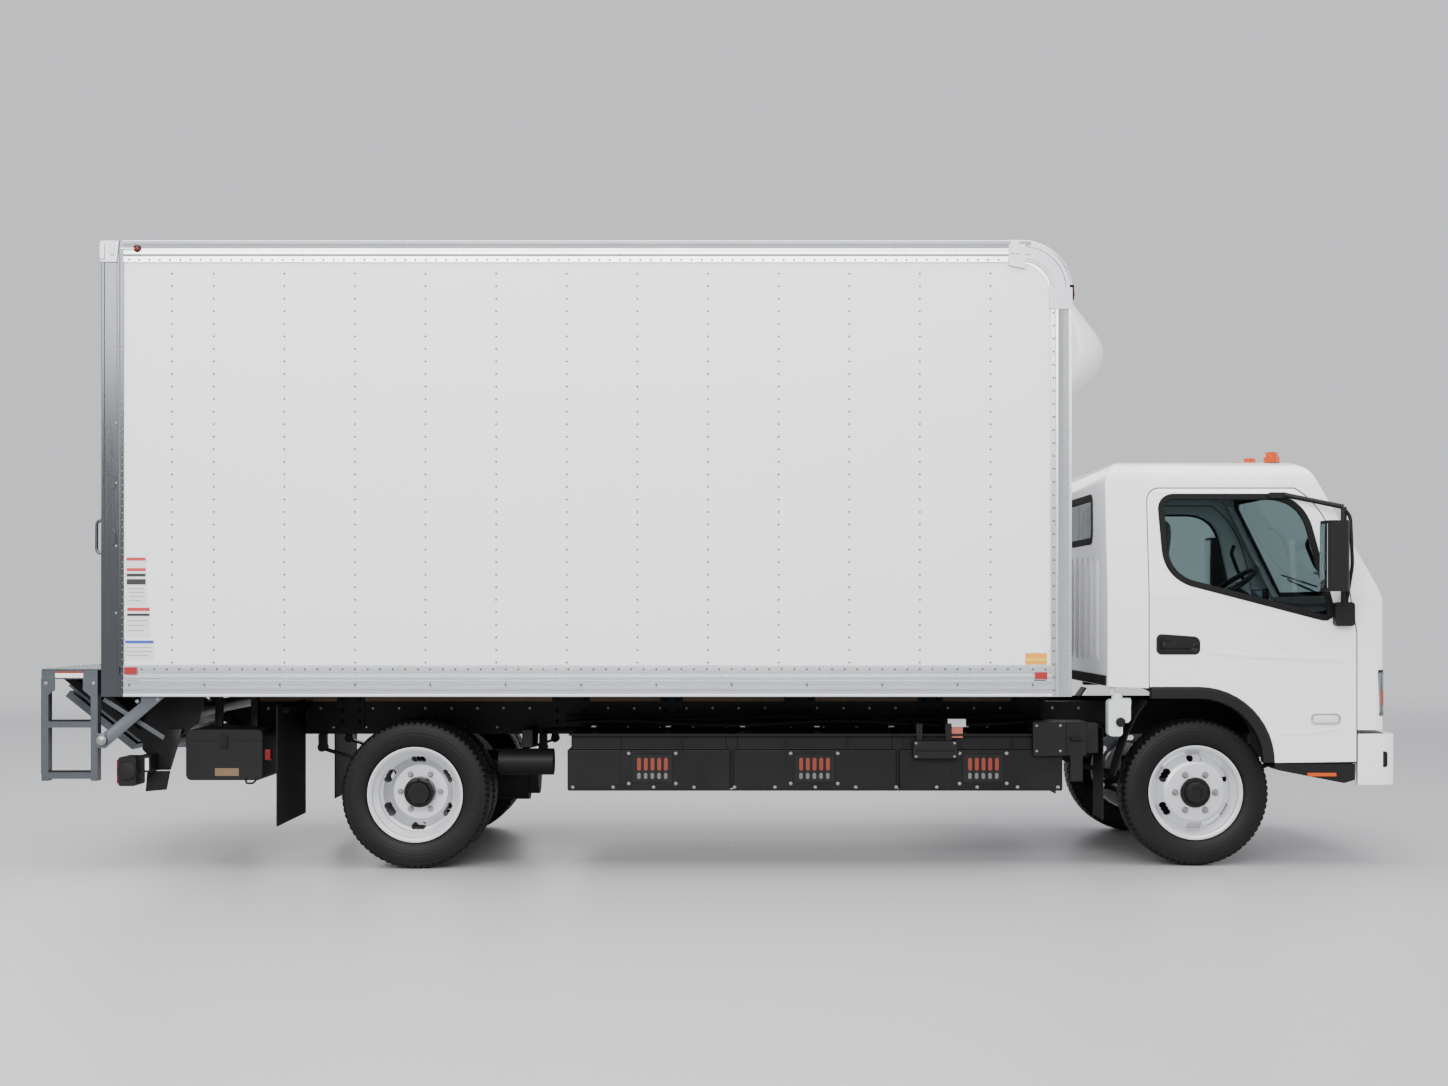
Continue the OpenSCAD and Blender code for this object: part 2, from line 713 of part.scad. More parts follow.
module box_floor() {
    color([0.35, 0.3, 0.25]) {
        block(hold_rear_x, hold_front_x, -in_y, in_y, floor_top_z - deck_t, floor_top_z);
        for (x = [hold_front_x - 120:-beam_pitch:hold_rear_x + 80])
            block(x, x + beam_w, -in_y, in_y, box_bottom_z, floor_top_z - deck_t);
        both_sides() block(rail_rear_x, hold_front_x, -rail_y, -rail_y + sill_w, rail_top_z, box_bottom_z);
    }
}

frame_in_y = box_y - 95;
header_z = box_top_z - 118;

module rear_frame() {
    color([0.5, 0.5, 0.52]) difference() {
        block(box_rear_x, hold_rear_x, -box_y, box_y, box_bottom_z, box_top_z);
        block(box_rear_x - eps, hold_rear_x + eps, -frame_in_y, frame_in_y, floor_top_z, header_z);
    }
}

module roll_door() {
    color([0.9, 0.9, 0.9])
        block(box_rear_x + 28, box_rear_x + 62, -frame_in_y + 2, frame_in_y - 2, floor_top_z + 2, header_z - 2);
}

nose_z0 = box_top_z - 822;
nose_z1 = box_top_z - 170;
nose_mid_z = box_top_z - 512;
nose_y = 930;

module nose_cone() {
    color([0.93, 0.93, 0.94]) intersection() {
        xz(-nose_y, nose_y) polygon(concat(
            [[box_front_x, nose_z0]],
            bend([box_front_x + 20, nose_z0], [box_front_x + nose_d * 0.95, nose_z0 + 120], [box_front_x + nose_d, nose_mid_z], 8),
            bend([box_front_x + nose_d - 4, nose_mid_z + 15], [box_front_x + nose_d * 0.8, nose_z1 - 172],
                 [box_front_x, nose_z1], 8)));
        translate([box_front_x + nose_d - 2300, 0, nose_z0 - eps])
            cylinder(r = 2300, h = nose_z1 - nose_z0 + 2 * eps, $fn = 360);
    }
}

// ---------------------------------------------------------------- cab

ws_top = [3215, cab_top_z - 92];
ws_base = [3577, 1475];
panel_bottom_z = 757;
door_bottom_z = 576;
arch_z = door_bottom_z;
door_rear_x = 2283;
door_front_x = 3431;
door_top_z = 2094;
rear_r = 150;

// Side outline of the cab down to its sills; closed straight across when plain.
module cab_side(plain) {
    upper = concat(
        arc(cab_rear_x + rear_r, cab_top_z - rear_r, rear_r, 180, 90, 10),
        bend([2960, cab_top_z], [3165, cab_top_z], ws_top, 9),
        bend(ws_base, [cab_front_x, 1310], [cab_front_x, 1131], 8));
    lower = plain
        ? [[cab_front_x, 300], [cab_rear_x, 300]]
        : concat([[cab_front_x, panel_bottom_z], [door_front_x, panel_bottom_z],
                  [door_front_x, door_bottom_z], [front_axle_x + arch_r, door_bottom_z]],
                 arc(front_axle_x, arch_z, arch_r, 0, 90, 12),
                 [[door_rear_x, arch_z + arch_r], [cab_rear_x, cab_sill_z]]);
    polygon(concat(upper, lower));
}

// Front outline of the cab: upright sides that lean in above the belt line.
module cab_front() {
    lean_z = 1500;
    top_y = cab_y - 78;
    r = 150;
    right = concat([[cab_y, 200], [cab_y, lean_z]],
                   bend([top_y + 8, cab_top_z - r - 20], [top_y - 4, cab_top_z - 20], [top_y - r, cab_top_z - 12], 9));
    left = [for (i = [len(right) - 1:-1:0]) [-right[i][0], right[i][1]]];
    polygon(concat(right, [[0, cab_top_z + 2]], left));
}

// The cab's volume, drawn in by t on every side.
module cab_volume(t, plain) {
    intersection() {
        xz(-cab_y, cab_y) offset(delta = -t) cab_side(plain);
        yz(cab_rear_x - 10, cab_front_x + 10) offset(delta = -t) cab_front();
        translate([0, 0, 250]) linear_extrude(cab_top_z)
            offset(delta = -t) front_plan(cab_front_x, cab_y, cab_rear_x, 120);
    }
}

// Outline of a door, grown by g.
module door_outline(g) {
    offset(delta = g) polygon(concat(
        arc(door_rear_x + 65 + door_gap, door_top_z - 65 - door_gap, 65, 180, 90, 5),
        [[3080, door_top_z - door_gap]],
        bend([3105, door_top_z - door_gap], [3330, 1960], [3392, 1475], 8),
        [[door_front_x - door_gap, 1290], [door_front_x - door_gap, door_bottom_z + door_gap]],
        arc(front_axle_x, arch_z, arch_r + door_gap, 0, 90, 12),
        [[door_rear_x + door_gap, arch_z + arch_r + door_gap]]));
}

// Outline of a door's window.
module window_outline() {
    polygon(concat(
        arc(2400 + 30, 2036 - 60, 60, 180, 90, 4),
        bend([2950, 2036], [3120, 2036], [3170, 1880], 5),
        [[3275, 1440]],
        bend([3280, 1415], [3283, 1368], [3230, 1384], 4),
        bend([2520, 1570], [2400, 1615], [2385, 1740], 4)));
}

module door_region(g) {
    xz(-cab_y - 20, -cab_y + 260) door_outline(g);
}

module windscreen_region() {
    yz(3100, cab_front_x + 20) polygon([[-880, 1500], [880, 1500], [820, 2085], [740, 2120], [-740, 2120], [-820, 2085]]);
}

module rear_window_region() {
    yz(cab_rear_x - 20, cab_rear_x + 80) round_rect(-570, 570, 1800, 2073, 50);
}

module front_panel_region() {
    xz(-cab_y - 10, cab_y + 10) polygon([[door_front_x, panel_bottom_z], [cab_front_x + 20, panel_bottom_z], [cab_front_x + 20, 1470],
                                         [3560, 1470], [3470, 1425], [door_front_x, 1290]]);
}

module headlamp_region() {
    xz(-cab_y - 10, -cab_y + 260) polygon([[3545, 1085], [3680, 1092], [3680, 830], [3600, 801], [3555, 850]]);
}

module cab_shell() {
    color([0.93, 0.93, 0.93]) difference() {
        cab_volume(0, false);
        cab_volume(cab_wall, true);
        both_sides() door_region(door_gap);
        windscreen_region();
        rear_window_region();
        front_panel_region();
        xz(-cab_y + cab_wall, cab_y - cab_wall) cab_bottom_cut();
        for (y = lamp_ys) translate([lamp_x, y, cab_top_z - 25]) cylinder(r = 44, h = 45);
    }
}

// What lies below the cab's sills between its side panels.
module cab_bottom_cut() {
    translate([cab_rear_x + cab_wall, 100]) square([cab_front_x - cab_rear_x, 960]);
}

module front_panel() {
    color([0.93, 0.93, 0.93]) difference() {
        intersection() {
            cab_volume(0, false);
            front_panel_region();
        }
        cab_volume(30, true);
        both_sides() headlamp_region();
    }
}

module headlamps() {
    color([0.8, 0.82, 0.85]) both_sides() difference() {
        intersection() {
            cab_volume(1, false);
            headlamp_region();
        }
        cab_volume(28, true);
    }
}

well_in_r = arch_r + 40;
floor_t = 20;
tunnel_y = 430;
tub_y = cab_y - door_t - 6;

// Cab floor: flat over the frame, wheel houses and a footwell on each side.
module cab_floor() {
    z0 = cab_sill_z + 30;
    color([0.15, 0.15, 0.16]) {
        block(cab_rear_x + cab_wall, door_front_x, -tunnel_y, tunnel_y, z0, z0 + floor_t);
        both_sides() {
            xz(-tub_y, -tunnel_y) polygon(concat(
                [[cab_rear_x + cab_wall, z0 + floor_t]],
                arc(front_axle_x, arch_z, well_in_r + floor_t, 88, 2, 9),
                [[door_front_x - 6, door_bottom_z + 6 + floor_t], [door_front_x - 6, door_bottom_z + 6]],
                arc(front_axle_x, arch_z, well_in_r, 0, 88, 9),
                [[cab_rear_x + cab_wall, z0]]));
            block(front_axle_x + well_in_r + floor_t, door_front_x - 6, -tunnel_y - floor_t, -tunnel_y,
                  door_bottom_z + 6 + floor_t - eps, z0 + eps);
            block(door_front_x - 6 - floor_t, door_front_x - 6, -tub_y, -tunnel_y - floor_t + eps,
                  door_bottom_z + 6 + floor_t - eps, 1200);
            difference() {
                xz(-lug_y + 8, -lug_y + 32) polygon([[3330, z0], [3330, 940], [tilt_x - 30, tilt_z - 30],
                    [tilt_x + 30, tilt_z - 30], [tilt_x + 34, tilt_z + 30], [3500, z0 + floor_t], [3440, z0 + floor_t]]);
                bar_y(tilt_x, tilt_z, tilt_r + pin_gap, -lug_y, -lug_y + 60);
            }
        }
    }
}

sill_z0 = 464;
sill_front_x = 3420;

// Black sill box under the front of each door, with a tread plate on top.
module cab_steps() {
    color([0.04, 0.04, 0.045]) both_sides() {
        xz(-cab_y + 6, -cab_y + 170) polygon([[front_axle_x + arch_r + 6, door_bottom_z - 6],
            [sill_front_x, door_bottom_z - 6], [sill_front_x, sill_z0 + 18], [sill_front_x - 60, sill_z0],
            [front_axle_x + arch_r + 30, sill_z0 + 70], [front_axle_x + arch_r + 6, sill_z0 + 84]]);
        block(3060, 3100, -cab_y + 170, -tunnel_y - 2 * floor_t, 530, door_bottom_z - 2);
        block(3340, 3380, -cab_y + 170, -tunnel_y - 2 * floor_t, 530, door_bottom_z - 2);
        for (x = [3060, 3340])
            block(x, x + 40, -tub_y + 40, -tub_y + 60, 530, door_bottom_z + 0.5);
    }
}

flare_out = 12;

module arch_flares() {
    color([0.05, 0.05, 0.05]) both_sides() xz(-cab_y - flare_out, -cab_y + 48) polygon(concat(
        arc(front_axle_x, arch_z, arch_r, 0, 90, 14), [[door_rear_x + 12, arch_z + arch_r]],
        [[door_rear_x + 12, arch_z + arch_r - flare_w]],
        arc(front_axle_x, arch_z, arch_r - flare_w, 90, 0, 14)));
}

module cab_glass() {
    color([0.5, 0.6, 0.6, 0.4]) {
        difference() {
            intersection() {
                cab_volume(8, true);
                union() {
                    windscreen_region();
                    rear_window_region();
                }
            }
            cab_volume(8 + glass_t, true);
        }
    }
}

lamp_x = 3030;
lamp_ys = [-750, -300, 0, 300, 750];

module roof_lamps() {
    color([0.9, 0.4, 0.05]) for (y = lamp_ys)
        translate([lamp_x, y, cab_top_z - 25]) {
            cylinder(r = 44, h = 45);
            cylinder(r = 34, h = 72);
        }
}

module dashboard() {
    color([0.08, 0.08, 0.09]) {
        xz(-cab_y + 70, cab_y - 70) polygon([[3130, 1330], [3180, 1400], [3480, 1440], [3500, 1400],
                                             [3380, 1230], [3200, 1220]]);
        block(3140, 3330, -190, 190, 1047, 1240);
    }
}

module seats() {
    base_z = arch_z + well_in_r + floor_t + 0.3;
    color([0.25, 0.26, 0.28]) for (y = [-640, -140, 520]) {
        w = y < 0 ? 235 : 250;
        xz(y - w, y + w) polygon([[2330, base_z], [2850, base_z], [2900, 1310], [2880, 1340], [2480, 1330],
                                  [2370, 1900], [2250, 1900], [2230, 1860], [2330, 1290]]);
        xz(y - 130, y + 130) polygon([[2260, 1905], [2350, 1905], [2330, 2080], [2240, 2080]]);
        block(2275, 2305, y - 60, y - 40, 1895, 1910);
        block(2275, 2305, y + 40, y + 60, 1895, 1910);
    }
}

wheel_c = [3130, 520, 1560];
wheel_tilt = 35;

module steering_wheel() {
    color([0.05, 0.05, 0.05]) translate(wheel_c) rotate([0, -wheel_tilt, 0]) {
        rotate_extrude() translate([205, 0]) circle(16, $fn = 24);
        translate([0, 0, -30]) cylinder(r = 60, h = 30);
        for (a = [0, 120, 240]) rotate(a) translate([40, -14, -26]) cube([155, 28, 16]);
        translate([0, 0, -170]) cylinder(r = 26, h = 145);
    }
}

// ---------------------------------------------------------------- doors

module door() {
    color([0.93, 0.93, 0.93]) difference() {
        intersection() {
            cab_volume(0, false);
            door_region(0);
        }
        cab_volume(door_t, true);
        xz(-cab_y - 20, -cab_y + 260) window_outline();
    }
}

module door_glass() {
    color([0.4, 0.55, 0.55, 0.4]) difference() {
        intersection() {
            cab_volume(16, true);
            xz(-cab_y - 20, -cab_y + 260) window_outline();
        }
        cab_volume(16 + glass_t, true);
    }
}

module mirror_head() {
    color([0.05, 0.05, 0.05]) {
        translate([0, 0, 1517]) linear_extrude(379) translate([3231, -1225]) head_oval();
        xz(-1055, -cab_y) round_rect(3293, 3400, 1328, 1460, 20);
        translate([3340, -1045, 1440]) cylinder(r = 16, h = 540);
        rod([3340, -1045, 1980], [3040, -955, 2052], 14);
        xz(-962, -936.2) round_rect(2955, 3060, 2034, 2066, 12);
        rod([3340, -1045, 1860], [3231, -1225, 1860], 13);
        rod([3340, -1045, 1560], [3231, -1225, 1560], 13);
    }
}

// Plan of a mirror head: a long oval across the truck.
module head_oval() {
    intersection() {
        translate([-62, -85]) square([132, 170]);
        translate([110, 0]) circle(178);
        translate([-60, 0]) circle(135);
    }
}

// A straight round bar between two points.
module rod(a, b, r) {
    d = b - a;
    len = norm(d);
    translate(a) rotate([0, acos(d[2] / len), atan2(d[1], d[0])]) cylinder(r = r, h = len);
}

// ---------------------------------------------------------------- lift gate

// Middle of the pins at the outer end of the stowed lift arms.
pivot_x = lift_pin_x - arm_len * cos(arm_angle);
pivot_z = lift_pin_z + arm_len * sin(arm_angle);
tube_r = 34;
bar_gap = 14;
heel = step_clear();
plate_lift = 8;
fold_gap = 16;
end_gap = 3;
tip_gap = 22;
barrel_r = 14;
barrel_l = 60;
unfold_angle = 180 - arm_angle;
knuckle_r_out = 24;
knuckle_l = 60;
lug_ys = [-810, -420, 360, 750];

function step_clear() = pivot_x - step_rear_x + 8;

// Lift arm on the right: an eyed bar with a shorter bar above it.
module lift_arm() {
    difference() {
        xz(-arm_y - arm_t, -arm_y) translate([lift_pin_x, lift_pin_z]) rotate(180 - arm_angle) {
            circle(arm_w / 2);
            translate([arm_len, 0]) circle(arm_w / 2 - 4);
            translate([0, -arm_w / 2 + 4]) square([arm_len, arm_w - 8]);
            translate([70, -arm_w / 2 - bar_gap - 30]) square([arm_len * 0.72, 30]);
            for (x = [70, 70 + arm_len * 0.72 - 40]) translate([x, -arm_w / 2 - bar_gap - 1]) square([40, bar_gap + 6]);
        }
        bar_y(lift_pin_x, lift_pin_z, lift_pin_r + pin_gap, -arm_y - arm_t - eps, -arm_y + eps);
        bar_y(pivot_x, pivot_z, lift_pin_r + pin_gap, -arm_y - arm_t - eps, -arm_y + eps);
    }
}

module lift_arms() {
    color([0.5, 0.52, 0.53]) {
        both_sides() lift_arm();
        difference() {
            bar_y(lift_pin_x, lift_pin_z, tube_r, -arm_y - eps, arm_y + eps);
            both_sides() bar_y(lift_pin_x, lift_pin_z, lift_pin_r + 2, -arm_y - eps, -arm_y + 12);
        }
    }
}

module lift_shackle() {
    color([0.3, 0.3, 0.3]) bar_y(pivot_x, pivot_z, lift_pin_r, -arm_y - arm_t, arm_y + arm_t);
}

// Its children, drawn for the level platform at the pivot, turned to the stowed slope.
module stowed() {
    translate([pivot_x, 0, pivot_z]) rotate([0, -unfold_angle, 0]) children();
}

// Hinge barrels at the tip, r thick, starting at the distances ys from the middle.
module fold_barrels(r, ys) {
    for (y = ys) bar_y(-heel - section_l - end_gap, plate_lift + section_t + fold_gap / 2, r, y, y + barrel_l);
}

flip_barrels = [-700, 580];
plate_barrels = [-638, 642];

module lift_platform() {
    z1 = plate_lift + section_t;
    color([0.1, 0.1, 0.1]) stowed() {
        difference() {
            fold_barrels(barrel_r, plate_barrels);
            block(-heel - section_l, -heel, -platform_y, platform_y, z1 - 20, z1);
        }
        difference() {
            union() {
                block(-heel - section_l, -heel, -platform_y, platform_y, plate_lift, z1);
                for (y = lug_ys) {
                    bar_y(0, 0, knuckle_r_out, y, y + knuckle_l);
                    block(-heel - 20, 0, y, y + knuckle_l, -knuckle_r_out + 6, z1 - 24);
                }
            }
            bar_y(0, 0, lift_pin_r + pin_gap, -arm_y, arm_y);
            fold_barrels(barrel_r + 2, flip_barrels);
        }
    }
}

module lift_flip() {
    z0 = plate_lift + section_t + fold_gap;
    color([0.1, 0.1, 0.1]) stowed() {
        difference() {
            block(-heel - section_l, -heel - tip_gap, -platform_y, platform_y, z0, z0 + section_t);
            fold_barrels(barrel_r + 2, plate_barrels);
        }
        difference() {
            fold_barrels(barrel_r, flip_barrels);
            block(-heel - section_l, -heel, -platform_y, platform_y, z0, z0 + section_t);
        }
    }
}

frame_rails();
front_axle();
rear_axle();
leaf_springs();
battery_packs();
service_boxes();
washer_tank();
mud_guards();
front_bumper();
pump_box();
lift_mainframe();
tail_lamps();
step_frames();
dock_plate();
box_floor();
box_wall();  // box_wall_right
mirror([0, 1, 0]) box_wall();  // box_wall_left
box_wall_front();
box_roof();
box_rails();
rear_frame();
roll_door();
nose_cone();
knuckle();  // knuckle_right
mirror([0, 1, 0]) knuckle();  // knuckle_left
tie_rod();
front_tyre();  // front_tyre_right
mirror([0, 1, 0]) front_tyre();  // front_tyre_left
front_wheel();  // front_wheel_right
mirror([0, 1, 0]) front_wheel();  // front_wheel_left
rear_tyres();  // rear_tyres_right
mirror([0, 1, 0]) rear_tyres();  // rear_tyres_left
rear_wheels();  // rear_wheels_right
mirror([0, 1, 0]) rear_wheels();  // rear_wheels_left
cab_shell();
front_panel();
cab_floor();
cab_steps();
arch_flares();
cab_glass();
headlamps();
roof_lamps();
dashboard();
seats();
steering_wheel();
door();  // door_right
mirror([0, 1, 0]) door();  // door_left
door_glass();  // door_glass_right
mirror([0, 1, 0]) door_glass();  // door_glass_left
mirror_head();  // mirror_right
mirror([0, 1, 0]) mirror_head();  // mirror_left
lift_arms();
lift_shackle();
lift_platform();
lift_flip();
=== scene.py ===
import bpy
import bmesh
import math
import numpy as np
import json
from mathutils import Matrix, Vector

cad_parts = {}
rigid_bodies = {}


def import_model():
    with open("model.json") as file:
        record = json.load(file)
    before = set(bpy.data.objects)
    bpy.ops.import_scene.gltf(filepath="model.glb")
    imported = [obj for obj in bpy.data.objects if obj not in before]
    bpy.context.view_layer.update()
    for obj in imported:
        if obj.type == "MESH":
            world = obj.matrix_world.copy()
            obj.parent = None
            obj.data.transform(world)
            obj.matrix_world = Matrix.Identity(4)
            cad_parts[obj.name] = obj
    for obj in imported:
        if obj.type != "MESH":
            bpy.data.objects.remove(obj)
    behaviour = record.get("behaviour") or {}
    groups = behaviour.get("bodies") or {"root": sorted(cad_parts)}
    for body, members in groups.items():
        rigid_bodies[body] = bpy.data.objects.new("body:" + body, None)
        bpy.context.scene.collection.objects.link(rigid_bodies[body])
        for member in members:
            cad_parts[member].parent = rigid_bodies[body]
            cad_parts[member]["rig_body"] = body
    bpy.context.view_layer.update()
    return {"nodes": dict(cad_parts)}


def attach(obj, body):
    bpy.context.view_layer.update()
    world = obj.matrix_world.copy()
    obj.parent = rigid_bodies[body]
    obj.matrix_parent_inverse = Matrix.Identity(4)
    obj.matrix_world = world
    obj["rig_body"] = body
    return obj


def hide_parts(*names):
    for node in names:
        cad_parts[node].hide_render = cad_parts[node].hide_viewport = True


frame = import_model()

# ------------------------------------------------------------------ studio
# A long lens at a standing person's eye height, square to the truck's right side,
# with five soft boxes and an even pale world round it.
camera = bpy.data.objects.new("camera", bpy.data.cameras.new("camera"))
bpy.context.scene.collection.objects.link(camera)
bpy.context.scene.camera = camera
camera.data.lens = 47.2
camera.data.sensor_width = 36.0
camera.data.shift_y = 0.0463
camera.data.clip_end = 200.0
camera.location = (-0.05, -11.43, 1.416)
camera.rotation_euler = (math.pi / 2, 0.0, 0.0)


def soft_light(name, place, aim, width, height, power):
    """A rectangular soft box at a place, turned to face a point."""
    lamp = bpy.data.lights.new(name, "AREA")
    lamp.shape = "RECTANGLE"
    lamp.size, lamp.size_y, lamp.energy = width, height, power
    ob = bpy.data.objects.new(name, lamp)
    ob.location = place
    gaze = [a - p for a, p in zip(aim, place)]
    ob.rotation_euler = Vector(gaze).to_track_quat("-Z", "Y").to_euler()
    bpy.context.scene.collection.objects.link(ob)


soft_light("light_top", (0.0, -1.5, 9.0), (0.0, 0.0, 0.0), 14.0, 9.0, 1500.0)
soft_light("light_side", (-2.0, -13.0, 6.5), (0.0, 0.0, 1.6), 12.0, 5.0, 2000.0)
soft_light("light_front", (12.0, -4.0, 5.0), (2.0, 0.0, 1.4), 5.0, 5.0, 270.0)
soft_light("light_far", (-3.0, 12.0, 6.0), (0.0, 0.0, 1.4), 12.0, 5.0, 520.0)
soft_light("light_rear", (-13.0, -2.0, 5.0), (-3.0, 0.0, 1.4), 5.0, 5.0, 240.0)

studio = bpy.data.worlds.new("studio")
bpy.context.scene.world = studio
studio.use_nodes = True
studio.node_tree.nodes["Background"].inputs["Color"].default_value = (0.80, 0.81, 0.84, 1.0)
studio.node_tree.nodes["Background"].inputs["Strength"].default_value = 1.0


# ------------------------------------------------------------------ floor
# One round sheet of pale studio floor, laid loose under the wheels, that fades
# into the backdrop's grey.
def skin(p, wrap_u=False, wrap_v=False, caps=False):
    """Quads between neighbouring points of a grid p[u, v], with flat ends if caps."""
    nu, nv = p.shape[:2]
    i = np.arange(nu * nv).reshape(nu, nv)
    a = np.concatenate([i, i[:1]], 0) if wrap_u else i
    a = np.concatenate([a, a[:, :1]], 1) if wrap_v else a
    q = np.stack([a[:-1, :-1], a[1:, :-1], a[1:, 1:], a[:-1, 1:]], -1).reshape(-1, 4)
    return p.reshape(-1, 3), [q] + ([i[:1], i[-1:, ::-1]] if caps else [])


def mesh_of(name, parts, tidy=True):
    """A mesh of several shapes, each (points, [face arrays]), faces turned outwards."""
    pts, faces, start = [], [], 0
    for p, fs in parts:
        p = np.asarray(p, float).reshape(-1, 3)
        pts.append(p)
        faces += [np.asarray(f) + start for f in fs]
        start += len(p)
    pts = np.concatenate(pts)
    counts = np.concatenate([np.full(len(f), f.shape[1]) for f in faces])
    me = bpy.data.meshes.new(name)
    me.vertices.add(len(pts))
    me.vertices.foreach_set("co", pts.ravel())
    me.loops.add(int(counts.sum()))
    me.loops.foreach_set("vertex_index", np.concatenate([f.ravel() for f in faces]).astype(np.int32))
    me.polygons.add(len(counts))
    me.polygons.foreach_set("loop_start", np.concatenate([[0], np.cumsum(counts)[:-1]]).astype(np.int32))
    me.update(calc_edges=True)
    if tidy:
        bm = bmesh.new()
        bm.from_mesh(me)
        bmesh.ops.remove_doubles(bm, verts=bm.verts, dist=1e-6)
        bmesh.ops.recalc_face_normals(bm, faces=bm.faces)
        bm.to_mesh(me)
        bm.free()
    me.validate()
    return me


def shown(name, me, finish):
    """An object at the origin that shows a mesh in a finish."""
    me.materials.clear()
    me.materials.append(finish)
    ob = bpy.data.objects.new(name, me)
    bpy.context.scene.collection.objects.link(ob)
    return ob


def link(tree, a, b):
    """A wire from one shader socket to another."""
    tree.links.new(a, b)


def node(tree, kind, **values):
    """A shader node, with its settings and the values of its named inputs."""
    n = tree.nodes.new(kind)
    for key, value in values.items():
        if key in n.inputs:
            n.inputs[key].default_value = value
        else:
            setattr(n, key, value)
    return n


def floor_finish():
    """One grey; roughness from slow noise; alpha falls smoothly with distance from the middle."""
    m = bpy.data.materials.new("studio_floor")
    m.use_nodes = True
    t = m.node_tree
    shader = t.nodes["Principled BSDF"]
    where = node(t, "ShaderNodeTexCoord")
    length = node(t, "ShaderNodeVectorMath", operation="LENGTH")
    reach = {"From Min": 7.0, "From Max": 24.0, "To Min": 1.0, "To Max": 0.0}
    fade = node(t, "ShaderNodeMapRange", interpolation_type="SMOOTHSTEP", **reach)
    grain = node(t, "ShaderNodeTexNoise", Scale=0.6, Detail=4.0)
    tone = node(t, "ShaderNodeMapRange", **{"To Min": 0.34, "To Max": 0.40})
    link(t, where.outputs["Object"], length.inputs[0])
    link(t, where.outputs["Object"], grain.inputs["Vector"])
    link(t, length.outputs["Value"], fade.inputs["Value"])
    link(t, grain.outputs["Fac"], tone.inputs["Value"])
    link(t, fade.outputs["Result"], shader.inputs["Alpha"])
    link(t, tone.outputs["Result"], shader.inputs["Roughness"])
    shader.inputs["Base Color"].default_value = (0.42, 0.42, 0.43, 1.0)
    shader.inputs["Specular IOR Level"].default_value = 0.25
    return m


turn = np.linspace(0, 2 * np.pi, 97)[:-1]
reach = np.array([0.01, 12.0, 30.0])
ring = reach[:, None, None] * np.stack([np.cos(turn), np.sin(turn), 0 * turn], -1)[None]
shown("studio_floor", mesh_of("studio_floor", [skin(ring, wrap_v=True)]), floor_finish())


